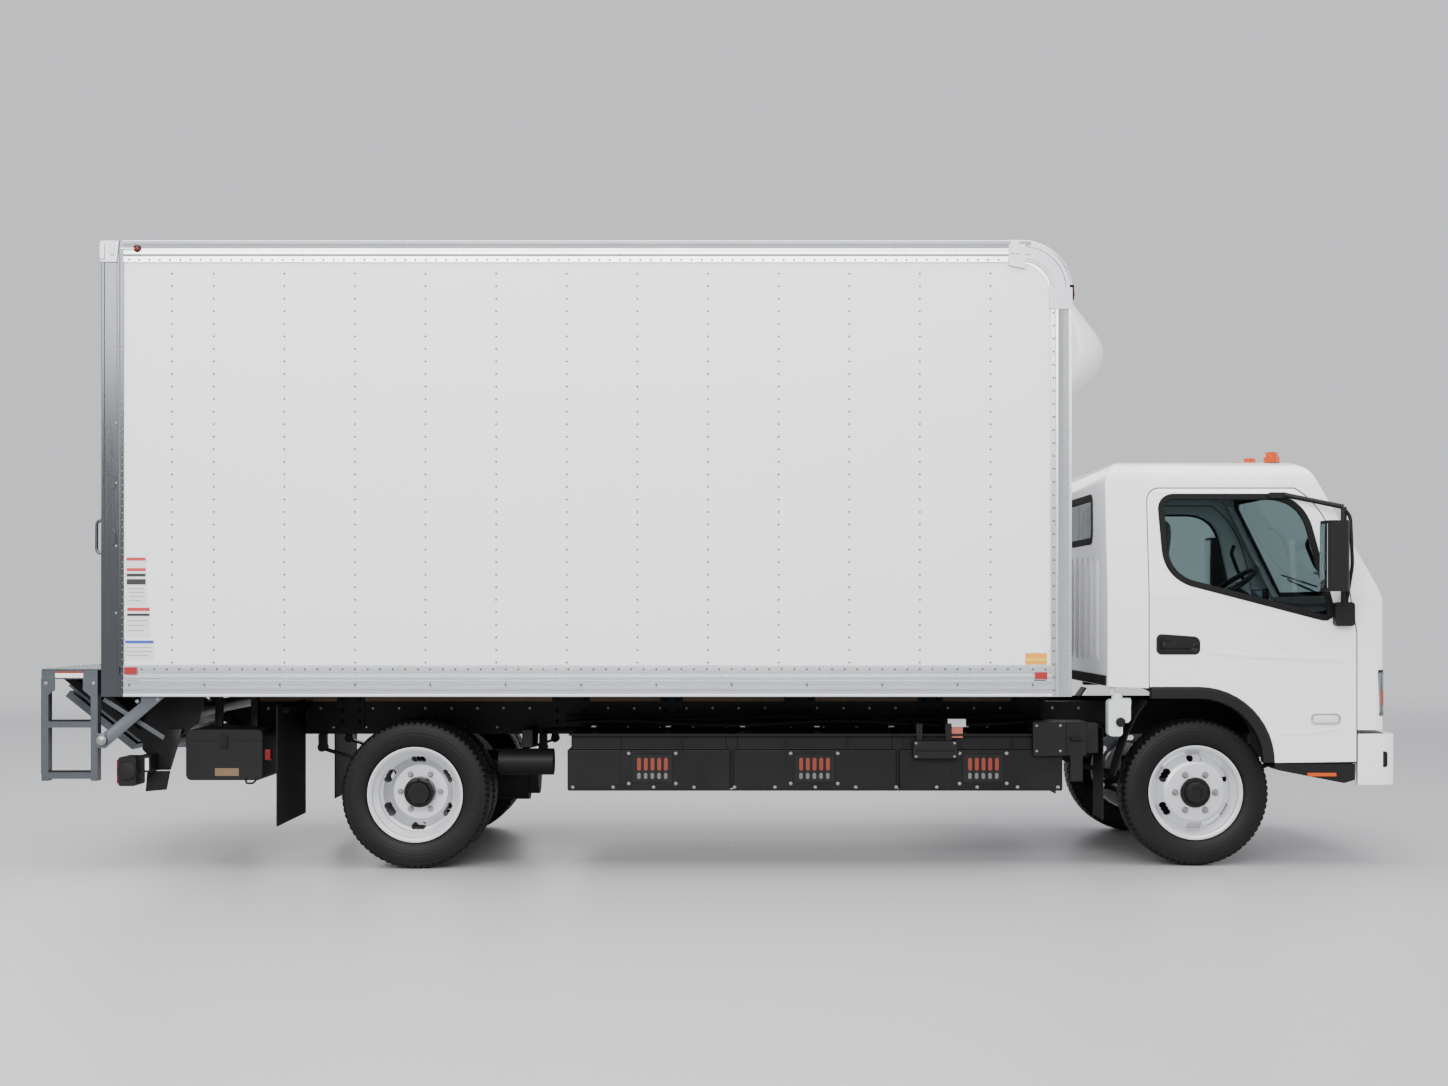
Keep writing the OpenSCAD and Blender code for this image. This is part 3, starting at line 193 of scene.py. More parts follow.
# ------------------------------------------------------------------ finishes
# The surface changes that every finish shares: mottling, road dust that
# thins out with height, and fine grain.
def surface_group():
    """Colour = base mixed to soil by noise and by height; roughness and grain from noise."""
    g = bpy.data.node_groups.new("weathered_surface", "ShaderNodeTree")
    face = g.interface
    for name, kind, value in (("Color", "NodeSocketColor", (0.5, 0.5, 0.5, 1)),
                              ("Soil Color", "NodeSocketColor", (0.2, 0.18, 0.15, 1)),
                              ("Soil", "NodeSocketFloat", 0.2), ("Soil Top", "NodeSocketFloat", 0.9),
                              ("Mottle", "NodeSocketFloat", 0.04), ("Roughness", "NodeSocketFloat", 0.4),
                              ("Spread", "NodeSocketFloat", 0.1), ("Grain Scale", "NodeSocketFloat",
            400.0), ("Stretch", "NodeSocketVector", (1.0, 1.0, 1.0))):
        s = face.new_socket(name, in_out="INPUT", socket_type=kind)
        s.default_value = value
    for name, kind in (("Color", "NodeSocketColor"), ("Roughness", "NodeSocketFloat"),
                       ("Height", "NodeSocketFloat")):
        face.new_socket(name, in_out="OUTPUT", socket_type=kind)
    src, out = g.nodes.new("NodeGroupInput"), g.nodes.new("NodeGroupOutput")
    where = node(g, "ShaderNodeTexCoord")
    apart = node(g, "ShaderNodeSeparateXYZ")
    link(g, where.outputs["Object"], apart.inputs[0])
    stretch = node(g, "ShaderNodeVectorMath", operation="MULTIPLY")
    link(g, where.outputs["Object"], stretch.inputs[0])
    link(g, src.outputs["Stretch"], stretch.inputs[1])
    broad = node(g, "ShaderNodeTexNoise", Scale=2.3, Detail=7.0, Roughness=0.62)
    fine = node(g, "ShaderNodeTexNoise", Detail=3.0, Roughness=0.55)
    link(g, where.outputs["Object"], broad.inputs["Vector"])
    link(g, stretch.outputs[0], fine.inputs["Vector"])
    link(g, src.outputs["Grain Scale"], fine.inputs["Scale"])
    low = node(g, "ShaderNodeMapRange", interpolation_type="SMOOTHSTEP")
    low.inputs["From Min"].default_value = 0.0
    low.inputs["To Min"].default_value = 1.0
    low.inputs["To Max"].default_value = 0.0
    link(g, apart.outputs["Z"], low.inputs["Value"])
    link(g, src.outputs["Soil Top"], low.inputs["From Max"])
    patch = node(g, "ShaderNodeMapRange")
    patch.inputs["From Min"].default_value = 0.36
    patch.inputs["From Max"].default_value = 0.72
    link(g, broad.outputs["Fac"], patch.inputs["Value"])
    amount = node(g, "ShaderNodeMath", operation="MULTIPLY")
    link(g, low.outputs["Result"], amount.inputs[0])
    link(g, patch.outputs["Result"], amount.inputs[1])
    soil = node(g, "ShaderNodeMath", operation="MULTIPLY", use_clamp=True)
    link(g, amount.outputs[0], soil.inputs[0])
    link(g, src.outputs["Soil"], soil.inputs[1])
    tint = node(g, "ShaderNodeMapRange")
    link(g, broad.outputs["Fac"], tint.inputs["Value"])
    dim = node(g, "ShaderNodeMath", operation="SUBTRACT")
    dim.inputs[0].default_value = 1.0
    link(g, src.outputs["Mottle"], dim.inputs[1])
    link(g, dim.outputs[0], tint.inputs["To Min"])
    tint.inputs["To Max"].default_value = 1.0
    toned = node(g, "ShaderNodeVectorMath", operation="SCALE")
    link(g, src.outputs["Color"], toned.inputs[0])
    link(g, tint.outputs["Result"], toned.inputs["Scale"])
    blend = node(g, "ShaderNodeMix", data_type="RGBA")
    link(g, soil.outputs[0], blend.inputs["Factor"])
    link(g, toned.outputs[0], blend.inputs[6])
    link(g, src.outputs["Soil Color"], blend.inputs[7])
    link(g, blend.outputs[2], out.inputs["Color"])
    off = node(g, "ShaderNodeMath", operation="SUBTRACT")
    off.inputs[1].default_value = 0.5
    link(g, fine.outputs["Fac"], off.inputs[0])
    rough = node(g, "ShaderNodeMath", operation="MULTIPLY_ADD")
    link(g, off.outputs[0], rough.inputs[0])
    link(g, src.outputs["Spread"], rough.inputs[1])
    link(g, src.outputs["Roughness"], rough.inputs[2])
    dusty = node(g, "ShaderNodeMath", operation="MULTIPLY_ADD", use_clamp=True)
    link(g, soil.outputs[0], dusty.inputs[0])
    dusty.inputs[1].default_value = 0.45
    link(g, rough.outputs[0], dusty.inputs[2])
    link(g, dusty.outputs[0], out.inputs["Roughness"])
    link(g, fine.outputs["Fac"], out.inputs["Height"])
    return g


weathered = surface_group()


def finish(name, colour, rough, metal=0.0, coat=0.0, soil=0.15, soil_top=0.9, mottle=0.05, spread=0.12,
           grain=500.0, stretch=(1, 1, 1), bump=0.05, depth=0.0004, glow=0.0,
           soil_colour=(0.17, 0.15, 0.13), shine=0.5):
    """A named finish: one shader fed by the shared surface group and a fine bump."""
    m = bpy.data.materials.new(name)
    m.use_nodes = True
    t = m.node_tree
    shader = t.nodes["Principled BSDF"]
    g = node(t, "ShaderNodeGroup", node_tree=weathered)
    for key, value in (("Color", (*colour, 1)), ("Soil Color", (*soil_colour, 1)), ("Soil", soil),
                       ("Soil Top", soil_top), ("Mottle", mottle), ("Roughness", rough),
                       ("Spread", spread), ("Grain Scale", grain), ("Stretch", stretch)):
        g.inputs[key].default_value = value
    relief = node(t, "ShaderNodeBump", Strength=bump, Distance=depth)
    link(t, g.outputs["Color"], shader.inputs["Base Color"])
    link(t, g.outputs["Roughness"], shader.inputs["Roughness"])
    link(t, g.outputs["Height"], relief.inputs["Height"])
    link(t, relief.outputs["Normal"], shader.inputs["Normal"])
    shader.inputs["Metallic"].default_value = metal
    shader.inputs["Specular IOR Level"].default_value = shine
    shader.inputs["Coat Weight"].default_value = coat
    shader.inputs["Coat Roughness"].default_value = 0.06
    if glow:
        shader.inputs["Emission Color"].default_value = (*colour, 1)
        shader.inputs["Emission Strength"].default_value = glow
    return m


def place(name, parts, body, slot, look, angle=32.0, bevel=0.0, steps=2):
    """A new piece on a body: its mesh, finish, shading that breaks past an angle, and rounded edges."""
    me = parts if isinstance(parts, bpy.types.Mesh) else mesh_of(name, parts)
    ob = shown(name, me, look)
    me.polygons.foreach_set("use_smooth", np.ones(len(me.polygons), bool))
    me.set_sharp_from_angle(angle=math.radians(angle))
    if bevel:
        b = ob.modifiers.new("rounded", "BEVEL")
        b.width, b.segments, b.limit_method, b.angle_limit = bevel, steps, "ANGLE", math.radians(35)
        b.harden_normals = True
        b.use_clamp_overlap = True
    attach(ob, body)
    return ob


def softened(cad, slot, look, bevel=0.003, angle=30.0, steps=2):
    """A CAD node's own mesh, merged and with its flat faces joined, with rounded edges."""
    bm = bmesh.new()
    bm.from_mesh(frame["nodes"][cad].data)
    bmesh.ops.remove_doubles(bm, verts=bm.verts, dist=2e-5)
    bmesh.ops.dissolve_limit(bm, angle_limit=math.radians(0.5), verts=bm.verts, edges=bm.edges)
    me = bpy.data.meshes.new(cad + "_soft")
    bm.to_mesh(me)
    bm.free()
    ob = place(cad + "_soft", me, frame["nodes"][cad]["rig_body"], slot, look, angle, bevel, steps)
    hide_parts(cad)
    return ob


def dress(cad, look):
    """A CAD node shown as it is, in a finish."""
    me = frame["nodes"][cad].data
    me.materials.clear()
    me.materials.append(look)


frame_black = finish("frame_black", (0.006, 0.006, 0.0065), 0.42, shine=0.16, soil=0.12, soil_top=1.1,
                     grain=260, bump=0.08)
cast_black = finish("cast_black", (0.009, 0.009, 0.0095), 0.6, shine=0.16, soil=0.2, soil_top=1.0,
                    grain=180, bump=0.25, depth=0.001)
satin_black = finish("satin_black", (0.0055, 0.0055, 0.006), 0.38, shine=0.18, soil=0.08, soil_top=1.0,
                     grain=420, bump=0.05)
moulded_black = finish("moulded_black", (0.0075, 0.0075, 0.008), 0.5, shine=0.2, soil=0.07, grain=900,
                       bump=0.25, depth=0.0005)
rubber = finish("rubber", (0.007, 0.007, 0.007), 0.68, shine=0.15, soil=0.1, soil_top=0.9, grain=600,
                bump=0.15)
zinc = finish("galvanised", (0.11, 0.122, 0.135), 0.40, metal=0.75, mottle=0.35, spread=0.35, grain=70,
              soil=0.1, bump=0.05)
bolt_steel = finish("bolt_steel", (0.34, 0.34, 0.35), 0.34, metal=0.9, mottle=0.25, spread=0.3, grain=150,
                    soil=0.2)
aluminium = finish("drawn_aluminium", (0.66, 0.67, 0.69), 0.27, metal=1.0, mottle=0.14, spread=0.28,
                   grain=60, stretch=(0.06, 4.0, 14.0), bump=0.10, depth=0.0006, soil=0.06)
cast_aluminium = finish("cast_aluminium", (0.52, 0.53, 0.55), 0.38, metal=0.95, mottle=0.2, spread=0.2,
                        grain=240, bump=0.2)
dark_steel = finish("polished_steel", (0.115, 0.12, 0.128), 0.20, metal=1.0, mottle=0.12, spread=0.22,
                    grain=50, stretch=(14.0, 4.0, 0.08), bump=0.08, depth=0.0005, soil=0.05)
box_white = finish("box_gel_coat", (0.90, 0.905, 0.92), 0.40, coat=0.1, mottle=0.03, spread=0.1,
                   grain=300, soil=0.03, soil_top=1.5, bump=0.04)
cab_white = finish("cab_paint", (0.91, 0.915, 0.92), 0.26, coat=0.7, mottle=0.015, spread=0.04, grain=700,
                   soil=0.06, soil_top=0.9, bump=0.015)
wheel_silver = finish("wheel_silver", (0.74, 0.75, 0.77), 0.36, metal=0.55, mottle=0.12, spread=0.2,
                      grain=260, soil=0.22, soil_top=0.9, bump=0.08)
red_lens = finish("red_lens", (0.15, 0.002, 0.002), 0.14, coat=0.3, shine=0.3, soil=0.0, glow=0.0,
                  grain=300)
amber_lens = finish("amber_lens", (0.50, 0.055, 0.0005), 0.14, coat=0.3, shine=0.3, soil=0.0, glow=0.0,
                    grain=300)
trim_grey = finish("trim_grey", (0.055, 0.056, 0.06), 0.55, soil=0.0, grain=1100, bump=0.3)

# ------------------------------------------------------------------ frame and axles
# Pressed steel channels, tubes and castings, all in black chassis paint.
for cad in ("frame_rails", "leaf_springs"):
    dress(cad, frame_black)
for cad in ("front_axle", "rear_axle", "knuckle_right", "knuckle_left", "tie_rod"):
    dress(cad, cast_black)


def boxes(lo, hi):
    """Closed boxes between rows of low and high corners."""
    lo, hi = np.atleast_2d(lo).astype(float), np.atleast_2d(hi).astype(float)
    pick = np.array([[x, y, z] for x in (0, 1) for y in (0, 1) for z in (0, 1)])
    p = lo[:, None] * (1 - pick) + hi[:, None] * pick
    f = np.array([[0, 1, 3, 2], [4, 6, 7, 5], [0, 4, 5, 1], [2, 3, 7, 6], [0, 2, 6, 4], [1, 5, 7, 3]])
    return p.reshape(-1, 3), [(f[None] + 8 * np.arange(len(p))[:, None, None]).reshape(-1, 4)]


def lathe(profile, centre, n=48, axis="y", out=-1.0):
    """A closed round part: (radius, distance along the axis) pairs turned about the axis."""
    r, s = np.array(profile, float).T
    a = np.linspace(0, 2 * np.pi, n + 1)[:-1]
    u, v, w = r[:, None] * np.cos(a), r[:, None] * np.sin(a), out * s[:, None] + 0 * a
    p = {"y": (u, w, v), "x": (w, u, v), "z": (u, v, w)}[axis]
    return skin(np.stack(p, -1) + np.array(centre, float), wrap_v=True, caps=True)


def copies(part, offsets):
    """The same small shape at many places."""
    p, faces = part
    offsets = np.atleast_2d(offsets)
    step = len(p) * np.arange(len(offsets))[:, None, None]
    return (p[None] + offsets[:, None]).reshape(-1, 3), [(f[None] + step).reshape(-1, f.shape[1])
            for f in faces]


def head(r, h, axis="y", out=-1.0, sides=8):
    """A rivet or bolt head: rings that close in over its height."""
    return lathe([(r, 0.0), (r * 0.93, h * 0.5), (r * 0.5, h)], (0, 0, 0), sides, axis, out)


def both(part):
    """A right-hand shape and its mirror image on the left."""
    p, faces = part
    return [part, (p * np.array([1, -1, 1]), [f[:, ::-1] for f in faces])]


def prism(outline, lo, hi, axis="y"):
    """A flat outline carried between two distances along an axis."""
    o = np.array(outline, float)
    ends = []
    for s in (lo, hi):
        c = np.full(len(o), float(s))
        ends.append(np.stack({"y": (o[:, 0], c, o[:, 1]), "x": (c, o[:, 0], o[:, 1]),
                              "z": (o[:, 0], o[:, 1], c)}[axis], -1))
    return skin(np.stack(ends), wrap_v=True, caps=True)


def rounded(x0, x1, z0, z1, r, n=6):
    """A rectangle whose corners are quarter circles."""
    a = np.linspace(0, np.pi / 2, n + 1)
    turns = [(x1 - r, z1 - r, 0), (x0 + r, z1 - r, 1), (x0 + r, z0 + r, 2), (x1 - r, z0 + r, 3)]
    return np.concatenate([np.stack([cx + r * np.cos(a + k * np.pi / 2),
                                     cz + r * np.sin(a + k * np.pi / 2)], -1) for cx, cz, k in turns])


def tube(path, r, n=12, up=(0, 0, 1)):
    """A round bar along a path, its ring square to the path at each point."""
    p = np.array(path, float)
    t = np.gradient(p, axis=0)
    t /= np.linalg.norm(t, axis=1, keepdims=True)
    side = np.cross(t, np.array(up, float))
    side /= np.linalg.norm(side, axis=1, keepdims=True)
    over = np.cross(side, t)
    a = np.linspace(0, 2 * np.pi, n + 1)[:-1]
    r = np.broadcast_to(np.asarray(r, float), len(p))[:, None, None]
    ring = r * (np.cos(a)[None, :, None] * side[:, None] + np.sin(a)[None, :, None] * over[:, None])
    return skin(p[:, None] + ring, wrap_v=True, caps=True)


def eased(points, r, n=6):
    """A path whose corners are rounded off over a length r."""
    p = np.array(points, float)
    out = [p[:1]]
    u = np.linspace(0, 1, n)[:, None]
    for a, b, c in zip(p[:-2], p[1:-1], p[2:]):
        s = b + (a - b) / np.linalg.norm(a - b) * r
        e = b + (c - b) / np.linalg.norm(c - b) * r
        out.append((1 - u) ** 2 * s + 2 * u * (1 - u) * b + u ** 2 * e)
    return np.concatenate(out + [p[-1:]])


def mirrored(parts):
    """Every shape of a list, each followed by its mirror image on the left."""
    return [half for part in parts for half in both(part)]


def spots(x, y, z):
    """Points from three coordinates, each a number or a row of the same length."""
    return np.stack(np.broadcast_arrays(x, y, z), -1).astype(float)


def layered(rings):
    """A closed shape through flat outlines (x, z), each at its own distance out to the right."""
    p = [np.stack([q[:, 0], np.full(len(q), -d), q[:, 1]], -1) for q, d in rings]
    return skin(np.stack(p), wrap_v=True, caps=True)


def shrunk(loop, share):
    """An outline drawn towards its middle: every point keeps a share of its distance."""
    middle = loop.mean(0)
    return (loop - middle) * np.array(share) + middle


rail_y = 0.380
bolts = []
for z, pitch in ((0.735, 0.19), (0.845, 0.152)):
    x = np.arange(-2.7, 2.1, pitch)
    bolts += both(copies(head(0.011, 0.009, sides=6), spots(x, -rail_y, z)))
place("frame_bolts", bolts, "chassis", "frame_black", bolt_steel)
plates = []
for x, w in ((-2.30, 0.16), (-1.05, 0.22), (-0.42, 0.13), (0.30, 0.18), (1.08, 0.14), (1.62, 0.20)):
    plates += both(boxes((x, -rail_y - 0.010, 0.735), (x + w, -rail_y, 0.948)))
    plates += both(boxes((x + 0.02, -rail_y - 0.075, 0.935), (x + w - 0.02, -rail_y - 0.010, 0.948)))
    plates += both(copies(head(0.014, 0.012, sides=6), [(x + a, -rail_y - 0.010, z)
            for a in (0.03, w - 0.03) for z in (0.765, 0.83, 0.9)]))
place("body_mount_plates", plates, "chassis", "frame_black", frame_black, bevel=0.002, steps=1)

# Rubber hoses and loomed cables clipped along the rails.
runs = []
for y, z, r, a, b in ((-0.402, 0.715, 0.011, -1.1, 2.0), (-0.425, 0.700, 0.008, -0.9, 1.9),
                      (0.405, 0.720, 0.012, -2.3, 1.9)):
    x = np.linspace(a, b, 90)
    sag = 0.010 * np.sin((x - a) * 6.3) + 0.004 * np.sin((x - a) * 17.0)
    runs.append(tube(np.stack([x, np.full_like(x, y) + 0.3 * sag, z + sag], -1), r, 10))
place("rail_hoses", runs, "chassis", "frame_black", rubber)

# ------------------------------------------------------------------ tyres
# Radial truck tyres: a rolled tread with zigzag grooves and sipes, ribbed side walls.
tyre_w, bead_r = 0.225, 0.248


def tyre(y, phase):
    """Radius and width follow the section; the tread sinks at four waving grooves and at slanting sipes."""
    k = [(bead_r, 0.345), (bead_r + 0.012, 0.376), (0.273, 0.450), (0.300, 0.487), (0.325, 0.500),
         (0.350, 0.496), (0.368, 0.480), (0.382, 0.463), (0.394, 0.440), (0.4005, 0.405), (0.403, 0.36),
         (0.4052, 0.20), (0.4055, 0.0)]
    r, w = np.array(k).T
    s = np.linspace(0, len(k) - 1, 44)
    r, w = np.interp(s, np.arange(len(k)), r), np.interp(s, np.arange(len(k)), w)
    r, w = np.concatenate([r, r[-2::-1]]), np.concatenate([w, -w[-2::-1]]) * tyre_w
    n = 288
    a = np.linspace(0, 2 * np.pi, n + 1)[:-1]
    rr = np.repeat(r[:, None], n, 1)
    ww = np.repeat(w[:, None], n, 1)
    tread = np.clip((rr - 0.398) / 0.004, 0, 1)
    wave = 0.0035 * np.sin(a * 48 + phase)[None]
    sink = np.zeros_like(rr)
    for c in (-0.062, -0.021, 0.021, 0.062):
        sink = np.maximum(sink, np.clip(1.5 - np.abs(ww - c - wave) / 0.0038, 0, 1))
    lug = np.sin(a * 72 + phase)[None] + 0 * ww
    edge = np.clip((np.abs(ww) - 0.066) / 0.010, 0, 1) * np.clip((lug - 0.55) * 5, 0, 1)
    sink = np.maximum(sink, edge * np.clip((rr - 0.386) / 0.006, 0, 1))
    wall = 0.0014 * np.clip(np.sin((rr - 0.262) * 330), 0, 1) * (1 - tread) * (rr > 0.27)
    rr = rr - 0.0085 * sink * np.clip((rr - 0.386) / 0.006, 0, 1)
    p = np.stack([rr * np.cos(a), ww + np.sign(ww) * (wall - 0.0012) * (rr < 0.39), rr * np.sin(a)], -1)
    ribs = skin(p + np.array([0, y, 0]), wrap_v=True)[0].reshape(p.shape)
    inner = np.stack([np.outer([0.262, 0.262], np.cos(a)), np.outer([-0.05, 0.05], np.ones(n)) + y,
                      np.outer([0.262, 0.262], np.sin(a))], -1)
    return skin(np.concatenate([ribs, inner]), wrap_u=True, wrap_v=True)


tyre_rubber = finish("tyre_rubber", (0.0055, 0.0055, 0.0058), 0.52, shine=0.2, soil=0.05, soil_top=0.5,
                     mottle=0.1, grain=420, bump=0.2, depth=0.0006, spread=0.22)
front_x, rear_x, hub_z = 2.560, -1.740, 0.4055
front_y, rear_y, twin = 0.832, 0.825, 0.128


def at(parts, centre):
    """Shapes moved from the origin to a centre."""
    return [(p + np.array(centre), f) for p, f in parts]


for side, s in (("right", -1), ("left", 1)):
    t = place(f"front_tyre_{side}_tread", at([tyre(s * front_y, 0.3 * s)], (front_x, 0, hub_z)),
              f"front_wheel_{side}", "tyre", tyre_rubber)
    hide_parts(f"front_tyre_{side}")
    t = place(f"rear_tyres_{side}_tread",
              at([tyre(s * (rear_y - twin), 1.1), tyre(s * (rear_y + twin), 2.0)], (rear_x, 0, hub_z)),
              f"rear_wheels_{side}", "tyre", tyre_rubber)
    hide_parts(f"rear_tyres_{side}")

# ------------------------------------------------------------------ wheels
# Painted steel disc wheels with six hand holes, six flanged nuts and a black hub.
for side in ("right", "left"):
    for end in ("front_wheel", "rear_wheels"):
        dress(f"{end}_{side}", wheel_silver)


def nuts(ring_r, face, r, h):
    """Six washers, hexagon nuts and stud ends round the bolt circle, facing outwards."""
    out = []
    for a in np.arange(6) * np.pi / 3:
        c = (ring_r * np.cos(a), 0, ring_r * np.sin(a))
        out += [lathe([(r * 1.25, face), (r * 1.2, face + 0.004)], c, 16),
                lathe([(r, face + 0.003), (r, face + h), (r * 0.8, face + h + 0.003)], c, 6),
                lathe([(r * 0.5, face + h), (r * 0.5, face + h + 0.012)], c, 10)]
    return out


def fastened(parts, side, centre):
    """Shapes drawn for the right side, mirrored for the left, about a wheel centre."""
    s = -1 if side == "right" else 1
    return [(p * np.array([1, -s, 1]) + np.array(centre), f if s < 0 else [q[:, ::-1] for q in f]) for p,
            f in parts]


for side, s in (("right", -1), ("left", 1)):
    c = (front_x, s * front_y, hub_z)
    place(f"front_nuts_{side}", fastened(nuts(0.111, 0.078, 0.0155, 0.020), side, c),
          f"front_wheel_{side}", "wheel_silver", bolt_steel)
    cap = [lathe([(0.082, 0.070), (0.084, 0.088), (0.080, 0.097), (0.064, 0.098), (0.060, 0.114),
                  (0.052, 0.120), (0.030, 0.121), (0.028, 0.115), (0.001, 0.115)], (0, 0, 0), 48)]
    cap += [lathe([(0.0065, 0.096), (0.0065, 0.104)], (0.072 * np.cos(a), 0, 0.072 * np.sin(a)), 6)
            for a in np.arange(8) * np.pi / 4]
    place(f"front_hub_{side}", fastened(cap, side, c), f"front_wheel_{side}", "wheel_silver", satin_black)
    c = (rear_x, s * rear_y, hub_z)
    place(f"rear_nuts_{side}", fastened(nuts(0.111, 0.013, 0.0165, 0.026), side, c),
          f"rear_wheels_{side}", "wheel_silver", bolt_steel)
    cap = [lathe([(0.083, 0.008), (0.086, 0.060), (0.082, 0.094), (0.066, 0.098), (0.062, 0.112),
                  (0.058, 0.117), (0.030, 0.118), (0.001, 0.118)], (0, 0, 0), 48)]
    cap += [lathe([(0.007, 0.094), (0.007, 0.106)], (0.072 * np.cos(a), 0, 0.072 * np.sin(a)), 6)
            for a in np.arange(8) * np.pi / 4]
    place(f"rear_hub_{side}", fastened(cap, side, c), f"rear_wheels_{side}", "wheel_silver", satin_black)

# ------------------------------------------------------------------ box walls, roof and floor
# Flat white panels in an aluminium frame, fixed with columns of small rivets
# to the posts inside; the floor is hardwood on cross members.
box_x0, box_x1, box_y, box_z1 = -3.400, 1.820, 1.219, 3.402
wall_x0, wall_z0, wall_z1, wall_face = -3.279, 1.122, 3.287, 1.213
deck_wood = finish("deck_wood", (0.20, 0.12, 0.06), 0.6, mottle=0.35, soil=0.2, soil_top=1.5, grain=40,
                   stretch=(0.3, 9, 9), bump=0.3, depth=0.001)
for cad in ("box_wall_right", "box_wall_left", "box_wall_front", "box_roof"):
    dress(cad, box_white)
dress("box_floor", deck_wood)
columns = np.concatenate([[-3.020, -2.796], -2.796 + 0.380 * np.arange(1, 12)])
heights = np.arange(wall_z0 + 0.012, wall_z1, 0.0675)
gx, gz = [a.ravel() for a in np.meshgrid(columns, heights)]
inside = ~((gx > 1.45) & (gz > 3.1))
rivets = spots(gx, -wall_face, gz)[inside]
place("wall_rivets", both(copies(head(0.0064, 0.0024, sides=6), rivets)), "chassis", "box_white",
      finish("rivet_white", (0.13, 0.135, 0.145), 0.5, soil=0.1, mottle=0.1, grain=300))
across = np.arange(-1.05, 1.06, 0.13)
bows = np.arange(wall_x0 + 0.25, 1.55, 0.61)
gx, gy = [a.ravel() for a in np.meshgrid(bows, across)]
roof_heads = copies(head(0.006, 0.003, "z", 1.0, 6), spots(gx, gy, box_z1 - 0.0015))
front_heads = copies(head(0.005, 0.003, "x", 1.0, 6),
                     [(box_x1, y, z) for y in (-1.10, -0.55, 0.0, 0.55, 1.10)
                      for z in np.arange(1.0, 2.5, 0.09)])
place("roof_and_front_rivets", [roof_heads, front_heads], "chassis", "box_white", box_white)

# ------------------------------------------------------------------ box rails and posts
# Extruded aluminium: a coved top rail with a riveted flange, a ribbed bottom
# rail, a tall front post, and cast corners. The CAD section lies just behind.
dress("box_rails", aluminium)


def moulding(section, x0, x1):
    """A section (height, distance out from the CAD rail's face) carried along the truck."""
    z, d = np.array(section, float).T
    p = np.stack([np.stack([np.full(len(z), x), -(box_y - 0.003 + d), z], -1) for x in (x0, x1)])
    return skin(p, wrap_v=True, caps=True)


top = [(3.287, 0), (3.287, 0.0045), (3.318, 0.0045), (3.322, 0.010), (3.328, 0.012), (3.332, 0.006),
       (3.348, 0.006), (3.356, 0.0035), (3.366, 0.0045), (3.376, 0.010), (3.384, 0.018), (3.398, 0.020),
       (3.402, 0.016), (3.402, 0)]
bottom = [(0.950, 0), (0.950, 0.012), (0.958, 0.013), (0.966, 0.0055), (0.984, 0.0055), (0.988, 0.011),
          (1.000, 0.012), (1.004, 0.0055), (1.020, 0.0055), (1.024, 0.011), (1.036, 0.012),
          (1.040, 0.0055), (1.056, 0.0055), (1.060, 0.010), (1.066, 0.010), (1.070, 0.0052),
          (1.115, 0.0052), (1.122, 0.0045), (1.122, 0)]
place("top_rails", both(moulding(top, wall_x0, 1.600)), "chassis", "rail_aluminium", aluminium, angle=25)
place("bottom_rails", both(moulding(bottom, wall_x0, 1.712)), "chassis", "rail_aluminium", aluminium,
      angle=25)
x = np.arange(wall_x0 + 0.03, 1.60, 0.055)
x2 = np.arange(wall_x0 + 0.03, 1.70, 0.0675)
rows = [spots(x, -box_y - 0.0010, 3.300), spots(x2, -box_y - 0.0021, 1.098),
        spots(x2[::6], -box_y - 0.0024, 1.013), spots(1.722, -box_y - 0.0005,
        np.arange(0.985, 3.10, 0.07))]
rivet_grey = finish("rivet_grey", (0.10, 0.10, 0.105), 0.4, metal=0.5, soil=0.1)
place("rail_rivets", both(copies(head(0.0062, 0.0035, sides=8), np.concatenate(rows))), "chassis",
      "rail_aluminium", rivet_grey)


def post(x0, x1, z0, z1, section):
    """An upright section (share of the width, distance out), between two heights."""
    u, d = np.array(section, float).T
    p = np.stack([np.stack([x0 + (x1 - x0) * u, -(box_y - 0.003 + d), np.full(len(u), z)], -1)
                  for z in (z0, z1)])
    return skin(p, wrap_v=True, caps=True)


front_section = [(0, 0), (0, 0.004), (0.22, 0.004), (0.26, 0.010), (0.34, 0.012), (0.46, 0.007),
                 (0.70, 0.006), (0.86, 0.004), (0.94, 0.0085), (1, 0.004), (1, 0)]
place("front_posts", both(post(1.707, 1.820, 0.950, 3.090, front_section)), "chassis", "rail_aluminium",
      aluminium, angle=25)


corner_x, corner_z = box_x1 - 0.262, box_z1 - 0.262


def corner_band(r0, r1, proud):
    """A quarter ring round the front top corner between two radii, standing proud."""
    a = np.linspace(0, np.pi / 2, 25)
    ring = np.array([(r0, 0.0), (r0 + 0.004, proud), (r1 - 0.010, proud), (r1, proud * 0.3), (r1, 0.0)])
    p = np.stack([corner_x + np.cos(a)[:, None] * ring[None, :, 0],
                  -(box_y - 0.003 + ring[None, :, 1] + 0 * a[:, None]),
                  corner_z + np.sin(a)[:, None] * ring[None, :, 0]], -1)
    return skin(p, wrap_v=True, caps=True)


